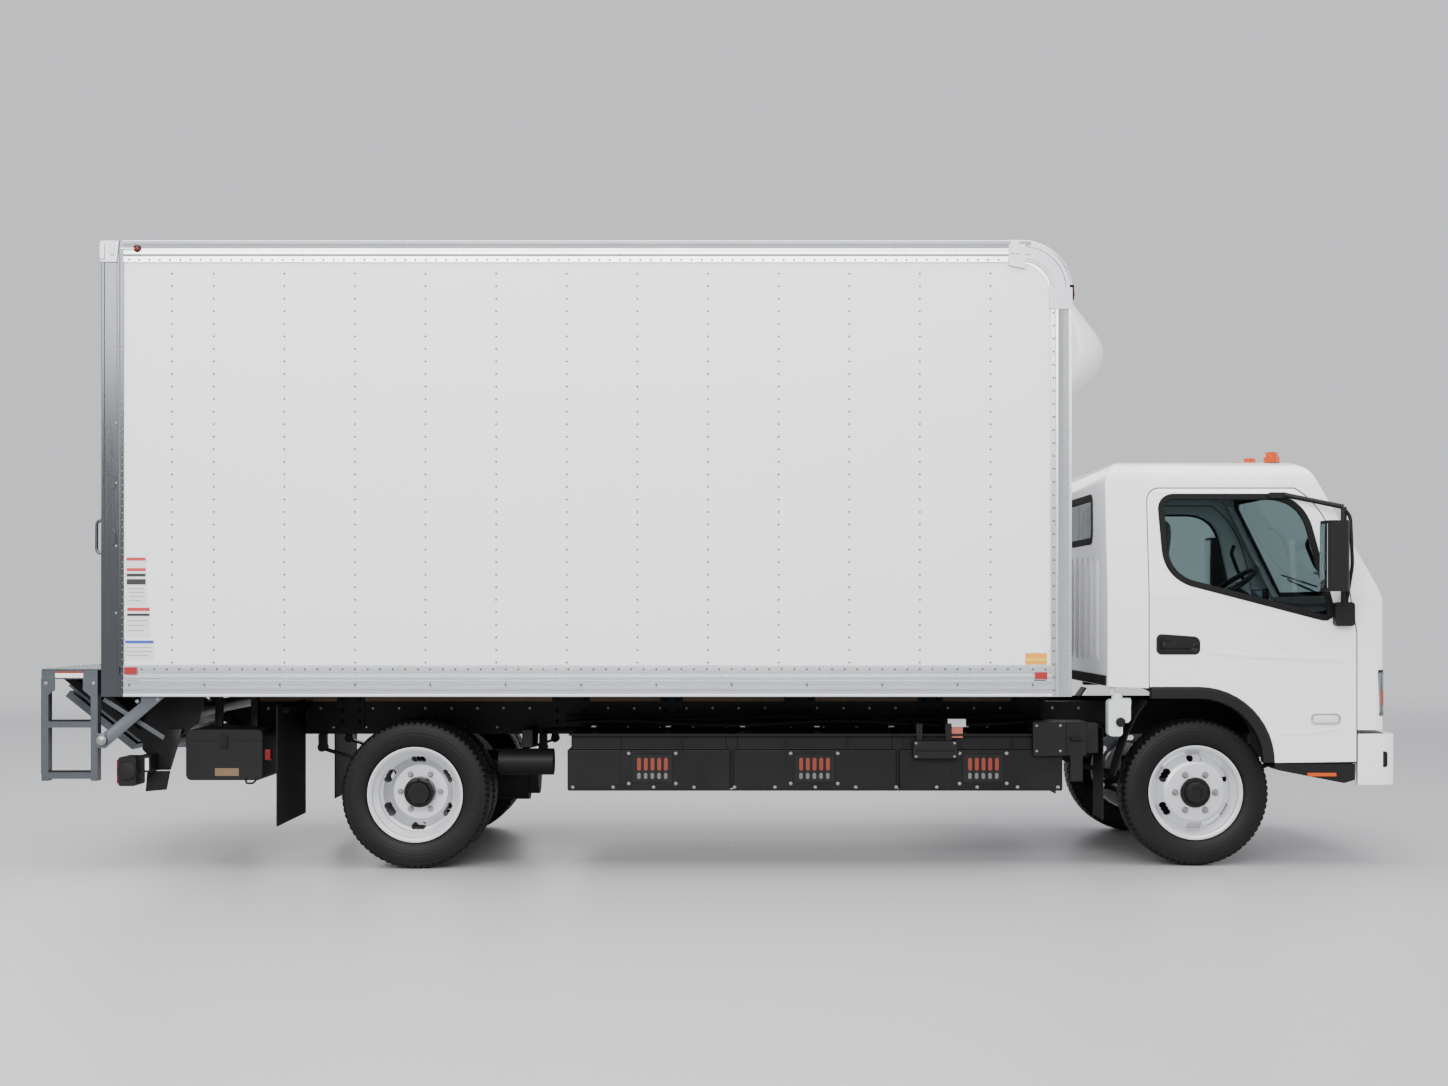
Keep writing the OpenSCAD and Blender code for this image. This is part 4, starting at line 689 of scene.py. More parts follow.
castings = [corner_band(0.148, 0.262, 0.010), corner_band(0.166, 0.176, 0.015),
            corner_band(0.225, 0.240, 0.014),
            prism([(1.700, 3.035), (1.822, 3.035), (1.822, 3.150), (1.700, 3.150)], -box_y - 0.012,
                  -box_y + 0.004), prism([(1.480, 3.270), (1.570, 3.250), (1.570, 3.404), (1.480, 3.404)],
                                         -box_y - 0.013, -box_y + 0.004),
            prism([(1.488, 3.330), (1.535, 3.330), (1.535, 3.404), (1.488, 3.404)], -box_y - 0.022,
                  -box_y - 0.012)]
place("front_corner_castings", mirrored(castings), "chassis", "rail_aluminium", cast_aluminium, bevel=0.003)
cover = np.linspace(-0.02, np.pi / 2 + 0.02, 30)
over = np.stack([np.stack([corner_x + r * np.cos(cover), np.full(30, y), corner_z + r * np.sin(cover)],
                          -1) for r, y in ((0.2625, -1.219), (0.2645, -1.219), (0.2645, -1.12),
                                           (0.2625, -1.12))], 1)
place("front_corner_covers", both(skin(over, wrap_v=True, caps=True)), "chassis", "rail_aluminium",
      aluminium)

# ------------------------------------------------------------------ rear frame and door
# Polished steel posts and header round a roll-up door of hinged white panels.
dress("rear_frame", dark_steel)
rear_section = [(0, 0), (0, 0.006), (0.06, 0.010), (0.14, 0.010), (0.18, 0.0075), (0.70, 0.0075),
                (0.74, 0.010), (0.82, 0.010), (0.86, 0.0045), (1, 0.0045), (1, 0)]
place("rear_posts", both(post(-3.400, -3.279, 0.950, 3.330, rear_section)), "chassis", "post_steel",
      dark_steel, angle=25)
cast = [prism([(-3.402, 3.285), (-3.310, 3.285), (-3.310, 3.300), (-3.300, 3.402), (-3.402, 3.402)],
              -box_y - 0.014, -box_y + 0.004),
        prism([(-3.402, 3.300), (-3.375, 3.300), (-3.375, 3.385), (-3.402, 3.385)], -box_y - 0.024,
              -box_y - 0.012), prism([(-3.345, 3.320), (-3.325, 3.320), (-3.325, 3.395), (-3.345, 3.395)],
                                     -box_y - 0.020, -box_y - 0.012),
        prism([(-3.300, 3.352), (-3.190, 3.352), (-3.190, 3.366), (-3.300, 3.366)], -box_y - 0.008,
              -box_y + 0.002)]
place("rear_corner_castings", mirrored(cast), "chassis", "rail_aluminium", cast_aluminium, bevel=0.003)
zr = np.arange(1.0, 3.28, 0.0375)
screws = copies(head(0.0038, 0.003, sides=6), spots(-3.287, -box_y - 0.001, zr))
strap_screws = copies(head(0.007, 0.004, sides=10), [(-3.318, -box_y - 0.0045, z)
        for z in (2.81, 2.42, 2.10, 1.76, 1.40)])
place("rear_post_screws", both(screws) + both(strap_screws), "chassis", "post_steel", bolt_steel)
marks = []
for z in (2.108, 1.806):
    o = rounded(-3.392, -3.322, z - 0.046, z + 0.046, 0.022, 3)
    i = rounded(-3.386, -3.328, z - 0.040, z + 0.040, 0.018, 3)
    rim = np.stack([np.stack([q[:, 0], np.full(len(q), -(box_y + d)), q[:, 1]], -1) for q,
                    d in ((o, 0.003), (o, 0.0085), (i, 0.0085), (i, 0.003))])
    marks += both(skin(rim, wrap_u=True, wrap_v=True))
place("strap_recess_rims", marks, "chassis", "post_steel", dark_steel)
grab = tube(eased([(-3.398, -1.200, 1.900), (-3.430, -1.200, 1.893), (-3.430, -1.200, 1.727),
                   (-3.398, -1.200, 1.720)], 0.02), 0.009, 12, up=(0, 1, 0))
place("rear_grab_handles", both(grab), "chassis", "post_steel", dark_steel)
door_x = box_x0 + 0.028
slat_z = np.linspace(1.109, 3.282, 9)
slats = []
for a, b in zip(slat_z[:-1], slat_z[1:]):
    slats.append(boxes((door_x - 0.007, -1.120, a + 0.003), (door_x + 0.004, 1.120, b - 0.003)))
place("roll_door_panels", slats, "chassis", "box_white", box_white, bevel=0.004)
dress("roll_door", box_white)
fittings = []
for z in slat_z[1:-1]:
    for y in (-1.06, -0.53, 0.0, 0.53, 1.06):
        fittings.append(boxes((door_x - 0.011, y - 0.03, z - 0.045), (door_x - 0.006, y + 0.03, z + 0.045)))
        fittings.append(lathe([(0.006, -0.034), (0.006, 0.034)], (door_x - 0.011, y, z), 10))
fittings += [boxes((door_x - 0.014, -0.16, 1.18), (door_x - 0.006, 0.16, 1.30)),
             boxes((door_x - 0.024, -0.025, 1.11), (door_x - 0.012, 0.025, 1.27)),
             tube(eased([(door_x - 0.008, -0.09, 1.36), (door_x - 0.026, -0.09, 1.38),
                         (door_x - 0.026, 0.09, 1.38), (door_x - 0.008, 0.09, 1.36)], 0.012), 0.007, 10,
                  up=(1, 0, 0))]
place("roll_door_hinges", fittings, "chassis", "post_steel", zinc, bevel=0.0015, steps=1)
place("roll_door_seal", [boxes((door_x - 0.009, -1.118, 1.1085), (door_x + 0.01, 1.118, 1.128))],
      "chassis", "box_white", rubber)

# ------------------------------------------------------------------ lamps on the box
# Sealed marker lamps in rubber rings; red behind and at the rear sides, amber in front.
rings, red, amber = [], [], []
upper_rear = (-3.205, -box_y - 0.003, 3.360)
rings += both(lathe([(0.021, 0), (0.020, 0.005), (0.014, 0.006), (0.014, 0.002)], upper_rear, 24))
red += both(lathe([(0.0145, 0), (0.0135, 0.006), (0.007, 0.010), (0.001, 0.011)], upper_rear, 24))
for y in (-0.21, 0.0, 0.21, -1.05, 1.05):
    rings.append(lathe([(0.034, -0.002), (0.032, 0.006), (0.026, 0.007), (0.026, 0.002)],
                       (box_x0, y, 3.345), 24, "x"))
    red.append(lathe([(0.026, 0), (0.024, 0.010), (0.012, 0.017), (0.001, 0.018)], (box_x0, y, 3.345), 24,
                     "x"))
rings.append(boxes((1.808, -1.228, 3.085), (1.832, -1.206, 3.165)))
rings.append(boxes((1.808, 1.206, 3.085), (1.832, 1.228, 3.165)))
for y in (-1.195, 1.195):
    amber.append(lathe([(0.024, 0), (0.022, 0.014), (0.012, 0.021), (0.001, 0.022)], (box_x1, y, 3.12),
                       24, "x", 1.0))
place("marker_lamp_rings", rings, "chassis", "lamp_red", rubber, bevel=0.002)
place("marker_lamps_red", red, "chassis", "lamp_red", red_lens)
place("marker_lamps_amber", amber, "chassis", "lamp_amber", amber_lens)
reflect = [boxes((-3.272312, -box_y - 0.017, 1.069312), (-3.2062, -box_y - 0.006, 1.109625)),
           boxes((1.619475, -box_y - 0.017, 1.045125), (1.686125, -box_y - 0.006, 1.08275))]


def reflex_finish():
    """Red prisms: a fine cell pattern bumps the lens."""
    m = finish("red_reflector", (0.33, 0.008, 0.010), 0.16, coat=0.6, soil=0.0)
    t = m.node_tree
    cells = node(t, "ShaderNodeTexVoronoi", Scale=260.0)
    where = node(t, "ShaderNodeTexCoord")
    dent = node(t, "ShaderNodeBump", Strength=0.5, Distance=0.001)
    link(t, where.outputs["Object"], cells.inputs["Vector"])
    link(t, cells.outputs["Distance"], dent.inputs["Height"])
    link(t, dent.outputs["Normal"], t.nodes["Principled BSDF"].inputs["Normal"])
    return m


red_reflector = reflex_finish()
place("side_reflectors", mirrored(reflect), "chassis", "lamp_red", red_reflector, bevel=0.001)

# ------------------------------------------------------------------ blank labels
# Thin printed films with coloured header bars and no lettering.
paper = finish("label_paper", (0.72, 0.73, 0.74), 0.45, soil=0.05, mottle=0.06, grain=800)
inks = {"red": finish("ink_red", (0.50, 0.03, 0.03), 0.4, soil=0.0),
        "black": finish("ink_black", (0.02, 0.02, 0.02), 0.4, soil=0.0),
        "blue": finish("ink_blue", (0.03, 0.08, 0.42), 0.4, soil=0.0), "orange": finish("ink_orange",
        (0.80, 0.32, 0.02), 0.4, soil=0.0), "grey": finish("ink_grey", (0.35, 0.36, 0.37), 0.5, soil=0.0),
        "yellow": finish("ink_yellow", (0.80, 0.52, 0.03), 0.4, soil=0.0)}


def film(x0, x1, top, bottom, lift):
    """A thin sheet on the wall between two lengths and two heights, standing out by lift."""
    return boxes((x0, -wall_face - lift, bottom), (x1, -wall_face + 0.001, top))


sheets = [(-3.269625, -3.15675, 1.700875, 1.4375), (-3.269625, -3.137937, 1.429437, 1.2655),
          (-3.275, -3.116437, 1.25475, 1.141875)]
place("label_sheets", [film(*r, 0.0006) for r in sheets], "chassis", "box_white", paper)
bars = {"red": [(-3.26425, -3.162125, 1.698187, 1.682062), (-3.26425, -3.162125, 1.64175, 1.625625),
                (-3.261562, -3.140625, 1.429437, 1.410625)],
        "black": [(-3.26425, -3.162125, 1.612187, 1.596062), (-3.26425, -3.162125, 1.582625, 1.553062),
                  (-3.261562, -3.140625, 1.397188, 1.38375)],
        "grey": [(-3.2535, -3.172875, 1.53425, 1.528875), (-3.2535, -3.1675, 1.51275, 1.507375),
                 (-3.2535, -3.1675, 1.49125, 1.485875), (-3.2535, -3.189, 1.46975, 1.464375),
                 (-3.258875, -3.151375, 1.36225, 1.356875), (-3.258875, -3.151375, 1.335375, 1.33),
                 (-3.258875, -3.172875, 1.3085, 1.303125), (-3.26425, -3.13525, 1.217125, 1.21175),
                 (-3.26425, -3.129875, 1.195625, 1.19025), (-3.26425, -3.146, 1.174125, 1.16875)],
        "blue": [(-3.272312, -3.119125, 1.252062, 1.235937)],
        "orange": [(1.5711, 1.688275, 1.184875, 1.117687)],
        "yellow": [(1.5754, 1.683975, 1.156925, 1.1408)]}
for ink, rows in bars.items():
    lift = 0.0015 if ink == "yellow" else 0.0011
    place(f"label_bars_{ink}", [film(*r, lift) for r in rows], "chassis", "box_white", inks[ink])

# ------------------------------------------------------------------ roof fairing
# A moulded glass-fibre air deflector screwed to the front wall, crowned both
# ways and painted like the cab.
def fairing():
    """Depth follows a lopsided arch over the height and a super-ellipse across the width."""
    u = np.linspace(-1, 1, 61)
    v = np.linspace(0, 1, 41)
    uu, vv = np.meshgrid(u, v, indexing="ij")
    z = 2.580 + 0.652 * vv
    hill = np.interp(v, [0, 0.04, 0.15, 0.30, 0.42, 0.50, 0.62, 0.80, 1.0], [0.0, 0.10, 0.50, 0.86, 0.98,
            1.0, 0.88, 0.52, 0.02])
    hill = np.convolve(np.pad(hill, 3, mode="edge"), np.ones(7) / 7, "valid")
    d = 0.345 * hill[None] * (1 - np.abs(uu) ** 3.2) ** 0.55
    y = 0.930 * uu
    return skin(np.stack([1.8205 + np.maximum(d, 0.0), y, z], -1))


nose = place("roof_fairing", [fairing()], "chassis", "nose_white", cab_white, angle=60)
solid = nose.modifiers.new("wall", "SOLIDIFY")
solid.thickness, solid.offset = 0.004, 0.0
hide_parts("nose_cone")

# ------------------------------------------------------------------ cab body
# Pressed steel panels in gloss white: shell, front panel and two doors, their
# edges rolled over and their shut lines dark.
for cad in ("cab_shell", "front_panel", "door_right", "door_left"):
    softened(cad, "cab_white", cab_white, bevel=0.007, angle=38, steps=3)
dress("cab_floor", trim_grey)
softened("cab_steps", "black_plastic", moulded_black, bevel=0.006)
softened("arch_flares", "black_plastic", moulded_black, bevel=0.008, steps=3)
softened("front_bumper", "bumper_white", cab_white, bevel=0.010, angle=38, steps=3)
softened("mud_guards", "rubber_black", rubber, bevel=0.002)


def side_y(z):
    """How far out the cab's side is at a height: upright, then leaning in above the belt."""
    return 1.0 - 0.070 * np.clip((z - 1.5) / 0.585, 0, 1.12)


def bow(p, q, r, n):
    """Points on a curve from p to r that leaves and arrives towards q."""
    u = np.linspace(0, 1, n + 1)[:, None]
    p, q, r = (np.array(v, float) / 1000 for v in (p, q, r))
    return (1 - u) ** 2 * p + 2 * u * (1 - u) * q + u * u * r


def arcs(x, z, r, a0, a1, n):
    """Points on a circle given in millimetres, between two angles in degrees."""
    a = np.radians(np.linspace(a0, a1, n + 1))
    return np.stack([x / 1000 + r / 1000 * np.cos(a), z / 1000 + r / 1000 * np.sin(a)], -1)


def dense(loop, step=0.02, closed=True):
    """The same line with points at even steps."""
    q = np.concatenate([loop, loop[:1]]) if closed else loop
    d = np.concatenate([[0], np.cumsum(np.linalg.norm(np.diff(q, axis=0), axis=1))])
    n = max(int(d[-1] / step), 8)
    s = np.linspace(0, d[-1], n + 1)
    s = s[:-1] if closed else s
    return np.stack([np.interp(s, d, q[:, 0]), np.interp(s, d, q[:, 1])], -1)


window = dense(np.concatenate([arcs(2430, 1976, 60, 180, 90, 6), bow((2950, 2036), (3120, 2036),
        (3170, 1880), 10), [[3.275, 1.440]], bow((3280, 1415), (3283, 1368), (3230, 1384), 6),
        bow((2520, 1570), (2400, 1615), (2385, 1740), 8)]), 0.018)


def normals_of(loop, closed=True):
    """Unit normals of a flat line, to its right."""
    t = (np.roll(loop, -1, 0) - np.roll(loop, 1, 0)) if closed else np.gradient(loop, axis=0)
    t /= np.linalg.norm(t, axis=1, keepdims=True)
    return np.stack([t[:, 1], -t[:, 0]], -1)


def side_strip(loop, profile, closed=True):
    """A section (sideways, outwards) carried along a line drawn on the cab's side."""
    n = normals_of(loop, closed)
    rows = [np.stack([loop[:, 0] + n[:, 0] * a, -(side_y(loop[:, 1] + n[:, 1] * a) + b),
                      loop[:, 1] + n[:, 1] * a], -1) for a, b in profile]
    p = np.stack(rows, 1)
    return skin(p, wrap_u=closed, wrap_v=True, caps=not closed)


gasket = [(-0.024, -0.014), (-0.024, 0.002), (-0.017, 0.007), (0.006, 0.007), (0.011, 0.003),
          (0.011, -0.014)]
for side, s in (("right", 0), ("left", 1)):
    g = both(side_strip(window, gasket))[s]
    place(f"door_window_seal_{side}", [g], f"door_{side}", "rubber_black", rubber)


def glass_finish(name, colour):
    """Green-tinted safety glass; roughness carries a faint haze."""
    m = bpy.data.materials.new(name)
    m.use_nodes = True
    t = m.node_tree
    shader = t.nodes["Principled BSDF"]
    where = node(t, "ShaderNodeTexCoord")
    haze = node(t, "ShaderNodeTexNoise", Scale=3.0, Detail=5.0)
    tone = node(t, "ShaderNodeMapRange")
    tone.inputs["To Min"].default_value = 0.0
    tone.inputs["To Max"].default_value = 0.05
    link(t, where.outputs["Object"], haze.inputs["Vector"])
    link(t, haze.outputs["Fac"], tone.inputs["Value"])
    link(t, tone.outputs["Result"], shader.inputs["Roughness"])
    shader.inputs["Base Color"].default_value = (*colour, 1)
    shader.inputs["Transmission Weight"].default_value = 1.0
    shader.inputs["IOR"].default_value = 1.12
    return m


cab_tint = glass_finish("cab_glass_tint", (0.44, 0.53, 0.53))
clear_lens = glass_finish("clear_lens", (0.92, 0.94, 0.95))
for cad in ("door_glass_right", "door_glass_left", "cab_glass"):
    dress(cad, cab_tint)

door_edge = dense(np.concatenate([arcs(2354, 2023, 65, 180, 90, 8), [[3.080, 2.088]],
                                  bow((3105, 2088), (3330, 1960), (3392, 1475), 14),
                                  [[3.425, 1.290], [3.425, 0.582]], arcs(2560, 576, 417, 0, 90, 16),
                                  [[2.289, 0.993]]]), 0.02)
shut = [(-0.0075, -0.050), (-0.0075, -0.007), (0.0005, -0.007), (0.0005, -0.050)]
place("door_shut_seals", both(side_strip(door_edge, shut)), "cab", "rubber_black", rubber)


def band(points, half, proud):
    """A pressed crease on the door: a low ridge along a line, lost at its ends."""
    p = dense(np.array(points), 0.03, closed=False)
    fade = np.sin(np.linspace(0.15, np.pi - 0.15, len(p))) ** 0.5
    n2 = normals_of(p, closed=False)
    rows = []
    for a, b in ((-1.0, -0.001), (-0.6, 0.15), (0.0, 1.0), (0.25, 0.15), (0.5, -0.001)):
        q = p + n2 * (a * half)
        rows.append(np.stack([q[:, 0], -(side_y(q[:, 1]) + np.where(b > 0, b * proud * fade, b)),
                              q[:, 1]], -1))
    rows += [np.stack([p[:, 0], -(side_y(p[:, 1]) - 0.004), p[:, 1]], -1)]
    return skin(np.stack(rows, 1), wrap_v=True, caps=True)


dish_x0, dish_z0, dish_x1, dish_z1 = 2.324425, 1.170597, 2.565985, 1.28424
for side, s in (("right", 0), ("left", 1)):
    ridges = [both(band([(2.61265, 1.17993), (2.83774, 1.15797), (3.39772, 1.13601)], 0.030, 0.006))[s],
              both(band([(2.98048, 0.72975), (3.16714, 0.73524), (3.38674, 0.76818)], 0.022, 0.004))[s]]
    place(f"door_creases_{side}", ridges, f"door_{side}", "cab_white", cab_white, angle=50)
    o = rounded(dish_x0, dish_x1, dish_z0, dish_z1, 0.030, 6)
    o[:, 1] -= np.clip((o[:, 0] - dish_x0 - 0.14) / 0.10, 0, 1) * 0.018 * (o[:, 1] > 1.22)
    i = shrunk(o, (0.90, 0.80))
    cup = layered([(o, 0.996), (o, 1.0030), (i, 1.0042), (i * 0.97 + i.mean(0) * 0.03, 1.0016),
                   (i.mean(0) + (i - i.mean(0)) * 0.02, 1.0014)])
    lever = rounded(dish_x0 + 0.030, dish_x1 - 0.045, 1.205, 1.240, 0.014, 5)
    bar = layered([(lever, 1.001), (lever, 1.009), (shrunk(lever, 0.9), 1.012)])
    lock = lathe([(0.013, 0.0), (0.013, 0.004), (0.010, 0.005), (0.001, 0.005)],
                 (dish_x1 - 0.026, -1.000, 1.218), 20)
    place(f"door_handle_{side}", [both(cup)[s], both(bar)[s]], f"door_{side}", "black_plastic",
          moulded_black, angle=40)
    place(f"door_lock_{side}", [both(lock)[s]], f"door_{side}", "black_plastic", satin_black)
    card = [boxes((2.40, -0.940, 1.08), (3.36, -0.925, 1.36)),
            boxes((2.50, -0.925, 1.20), (3.10, -0.880, 1.25)),
            boxes((2.75, -0.925, 1.25), (2.98, -0.895, 1.30))]
    place(f"door_card_{side}", [both(c)[s] for c in card], f"door_{side}", "cab_inner", trim_grey,
          bevel=0.008)

# ------------------------------------------------------------------ cab front and lamps
# Front panel lines, windscreen moulding, wipers, lamp internals and lenses.


def slope_x(z):
    """Front of the cab at a height: the windscreen's slope, then the bulging front panel."""
    return np.interp(z, [0.757, 1.131, 1.25, 1.36, 1.475, 2.163], [3.664, 3.664, 3.660, 3.634, 3.577,
            3.215])


def plan_x(y, front=3.664):
    """The plan bow of the front end, with its rounded corners."""
    b = front - 5.5 + np.sqrt(5.5 ** 2 - y ** 2)
    c = 3.504 + np.sqrt(np.maximum(0.12 ** 2 - np.maximum(np.abs(y) - 0.88, 0) ** 2, 0))
    return np.where(np.abs(y) > 0.88, np.minimum(b, c), b)


def front_at(y, z):
    """The front of the cab at a width and height: the further back of the slope and the plan bow."""
    return np.minimum(slope_x(z), plan_x(y))


def front_strip(loop, profile, closed=True):
    """A section (sideways, outwards) carried along a line (y, z) on the cab's front."""
    n = normals_of(loop, closed)
    rows = []
    for a, b in profile:
        q = loop + n * a
        rows.append(np.stack([front_at(q[:, 0], q[:, 1]) + b, q[:, 0], q[:, 1]], -1))
    return skin(np.stack(rows, 1), wrap_u=closed, wrap_v=True, caps=not closed)


screen = dense(np.array([[-0.880, 1.500], [0.880, 1.500], [0.820, 2.085], [0.740, 2.120], [-0.740, 2.120],
                         [-0.820, 2.085]]), 0.03)
sealing = [(-0.028, -0.020), (-0.028, 0.003), (-0.015, 0.006), (0.020, 0.005), (0.026, -0.012)]
place("windscreen_seal", [front_strip(screen, sealing)], "cab", "rubber_black", rubber)
rear_loop = dense(rounded(-0.570, 0.570, 1.800, 2.073, 0.05, 6), 0.03)
nrm = normals_of(rear_loop)
rows = [np.stack([np.full(len(rear_loop), 2.058 + b), rear_loop[:, 0] + nrm[:, 0] * a,
                  rear_loop[:, 1] + nrm[:, 1] * a], -1) for a, b in ((-0.030, 0.02), (-0.030, -0.004),
        (0.008, -0.004), (0.012, 0.02))]
place("rear_window_seal", [skin(np.stack(rows, 1), wrap_u=True, wrap_v=True)], "cab", "rubber_black",
      rubber)
ribs = []
for y in np.arange(-0.72, 0.73, 0.16):
    q = np.array([(y - 0.035, 0), (y - 0.018, -0.010), (y + 0.018, -0.010), (y + 0.035, 0)])
    ribs.append(skin(np.stack([np.stack([2.0575 + q[:, 1] * f, q[:, 0], np.full(4, z)], -1) for z,
                               f in ((1.13, 0.0), (1.17, 1.0), (1.68, 1.0), (1.72, 0.0))]), wrap_v=True,
                     caps=True))
place("cab_rear_ribs", ribs, "cab", "cab_white", cab_white, angle=50)
place("cab_rear_sill", [boxes((2.045, -0.960, 1.000), (2.062, 0.960, 1.055))], "cab", "rubber_black",
      rubber, bevel=0.004)


def slab(a, b):
    """Two grids of points, front and back, joined by a wall along their four edges."""
    edges = [np.concatenate([g[:, 0], g[-1, 1:], g[-2::-1, -1], g[0, -2:0:-1]]) for g in (a, b)]
    return [skin(a), skin(b), skin(np.stack(edges), wrap_v=True)]


def front_block(y0, y1, z0, z1, sink, proud, ny=24, nz=6):
    """A panel that follows the front's bow between two widths and heights."""
    y, z = np.meshgrid(np.linspace(y0, y1, ny), np.linspace(z0, z1, nz), indexing="ij")
    a = np.stack([front_at(y, z) + proud, y, z], -1)
    b = np.stack([front_at(y, z) - sink, y, z], -1)
    return slab(a, b)


grille = []
for z0, z1 in ((1.02, 1.06), (0.96, 1.00), (0.90, 0.94)):
    grille += front_block(-0.60, 0.60, z0, z1, 0.01, 0.003)
place("grille_slots", grille, "cab", "black_plastic", moulded_black)
lines = front_block(-0.86, 0.86, 1.395, 1.400, 0.006, 0.0008, 40, 2)
place("front_panel_joint", lines, "cab", "black_plastic", rubber)
cowl = front_block(-0.84, 0.84, 1.435, 1.480, 0.004, 0.006, 40, 4)
place("wiper_cowl", cowl, "cab", "black_plastic", moulded_black)
wipers = []
for y0, y1 in ((-0.62, -0.08), (0.02, 0.60)):
    a = np.array([(y0, 1.455), (y0 + 0.03, 1.50), (y1 - 0.03, 1.60), (y1, 1.612)])
    d = dense(a, 0.03, closed=False)
    wipers.append(tube(np.stack([front_at(d[:, 0], d[:, 1]) + 0.022, d[:, 0], d[:, 1]], -1), 0.007, 8,
                       up=(1, 0, 0)))
    b = dense(np.array([(y1 - 0.52, 1.560), (y1 + 0.06, 1.640)]), 0.03, closed=False)
    wipers.append(tube(np.stack([front_at(b[:, 0], b[:, 1]) + 0.012, b[:, 0], b[:, 1]], -1), 0.0055, 6,
                       up=(1, 0, 0)))
    wipers.append(lathe([(0.020, -0.01), (0.020, 0.026), (0.012, 0.032)],
                        (front_at(np.array(y0), np.array(1.455)), y0, 1.455), 16, "x", 1.0))
place("wipers", wipers, "cab", "black_plastic", satin_black)
chrome = finish("lamp_reflector", (0.72, 0.73, 0.75), 0.10, metal=1.0, soil=0.0, grain=60, bump=0.15,
                depth=0.002)
dress("headlamps", finish("lamp_body", (0.20, 0.21, 0.22), 0.22, metal=0.8, soil=0.0))


def lens_skin(y0, y1, z0, z1, x_min=3.548):
    """A clear cover over the lamp's front and side, just proud of the body."""
    y, z = np.meshgrid(np.linspace(y0, y1, 26), np.linspace(z0, z1, 12), indexing="ij")
    x = np.maximum(front_at(y, z), x_min)
    return skin(np.stack([x + 0.004, y * 1.003, z], -1))


lamps = [lens_skin(s * 0.742, s * 0.998, 0.835, 1.086) for s in (-1, 1)]
cover = place("headlamp_lenses", lamps, "cab", "lamp_clear", clear_lens, angle=60)
wall = cover.modifiers.new("wall", "SOLIDIFY")
wall.thickness, wall.offset = 0.003, 0.0
bulbs, ambers = [], []
for s in (-1, 1):
    for y, r in ((0.800, 0.036), (0.884, 0.030)):
        bulbs.append(lathe([(r, -0.03), (r, 0.001), (r * 0.86, 0.0015), (r * 0.62, -0.010),
                            (r * 0.4, -0.004), (0.001, 0.0)],
                           (float(front_at(np.array(s * y), np.array(0.98))) + 0.001, s * y, 0.985), 28,
                           "x", 1.0))
    ambers += front_block(s * 0.930, s * 0.983, 0.893, 0.970, 0.002, 0.0022, 8, 4)
place("headlamp_bowls", bulbs, "cab", "lamp_clear", chrome)
place("indicator_bulbs", ambers, "cab", "lamp_amber", amber_lens)
bezel = []
for s in (-1, 1):
    for y0, y1, z0, z1 in ((0.744, 0.758, 0.838, 1.084), (0.758, 0.990, 1.070, 1.084),
                           (0.758, 0.990, 0.838, 0.850), (0.842, 0.850, 0.850, 1.070),
                           (0.918, 0.925, 0.850, 1.070)):
        bezel += front_block(s * y0, s * y1, z0, z1, 0.002, 0.0024, 12, 3)
place("headlamp_bezels", bezel, "cab", "lamp_clear", satin_black)
fog = []
for s in (-1, 1):
    for r, d in ((0.052, 0.002), (0.044, 0.006)):
        fog.append(lathe([(r, -0.02), (r, d), (r * 0.8, d + 0.002), (0.001, d - 0.006)],
                         (3.6670, s * 0.80, 0.600), 28, "x", 1.0))
place("front_fog_lamps", fog, "chassis", "bumper_white", chrome)
slots = both(prism(rounded(3.556, 3.596, 0.553, 0.640, 0.014, 4), -0.9990, -0.985))
place("bumper_side_slots", slots, "chassis", "bumper_white", moulded_black)
cup_o = rounded(3.17263, 3.33733, 0.787395, 0.847785, 0.026, 6)
cup_i = shrunk(cup_o, (0.86, 0.72))
ring_cup = layered([(cup_o, 0.998), (cup_o, 1.006), (cup_i, 1.008), (cup_i, 1.000)])
lens_cup = layered([(cup_i, 0.999), (cup_i, 1.005), (shrunk(cup_i, 0.7), 1.010)])
for side, s in (("right", 0), ("left", 1)):
    place(f"side_lamp_rim_{side}", [both(ring_cup)[s]], f"door_{side}", "lamp_clear", chrome, angle=40)
    place(f"side_lamp_{side}", [both(lens_cup)[s]], f"door_{side}", "lamp_clear",
          finish(f"milky_lens_{side}", (0.75, 0.76, 0.77), 0.2, coat=0.6, soil=0.0), angle=40)
sill_reflex = boxes((3.15616, -0.9985, 0.501915), (3.31537, -0.990, 0.52113))
place("sill_reflectors", both(sill_reflex), "cab", "lamp_amber",
      finish("amber_reflector", (0.55, 0.075, 0.001), 0.2, coat=0.3, shine=0.3, soil=0.0), bevel=0.001)

# Roof lamps: amber domes on black rubber feet.
domes, feet = [], []
for y in (-0.75, -0.30, 0.0, 0.30, 0.75):
    feet.append(lathe([(0.047, 0.0), (0.046, 0.012), (0.040, 0.018), (0.036, 0.018)], (3.03, y, 2.231),
                      32, "z", 1.0))
    domes.append(lathe([(0.0385, 0.012), (0.039, 0.030), (0.037, 0.052), (0.030, 0.066), (0.016, 0.0745),
                        (0.001, 0.076)], (3.03, y, 2.231), 32, "z", 1.0))
dress("roof_lamps", amber_lens)
place("roof_lamp_feet", feet, "cab", "lamp_amber", rubber)
place("roof_lamp_domes", domes, "cab", "lamp_amber", amber_lens)

# ------------------------------------------------------------------ cab interior
# Cloth seats with stitched channels on black pans, dashboard with a display,
# steering wheel and grab handles; all fixed to the cab.


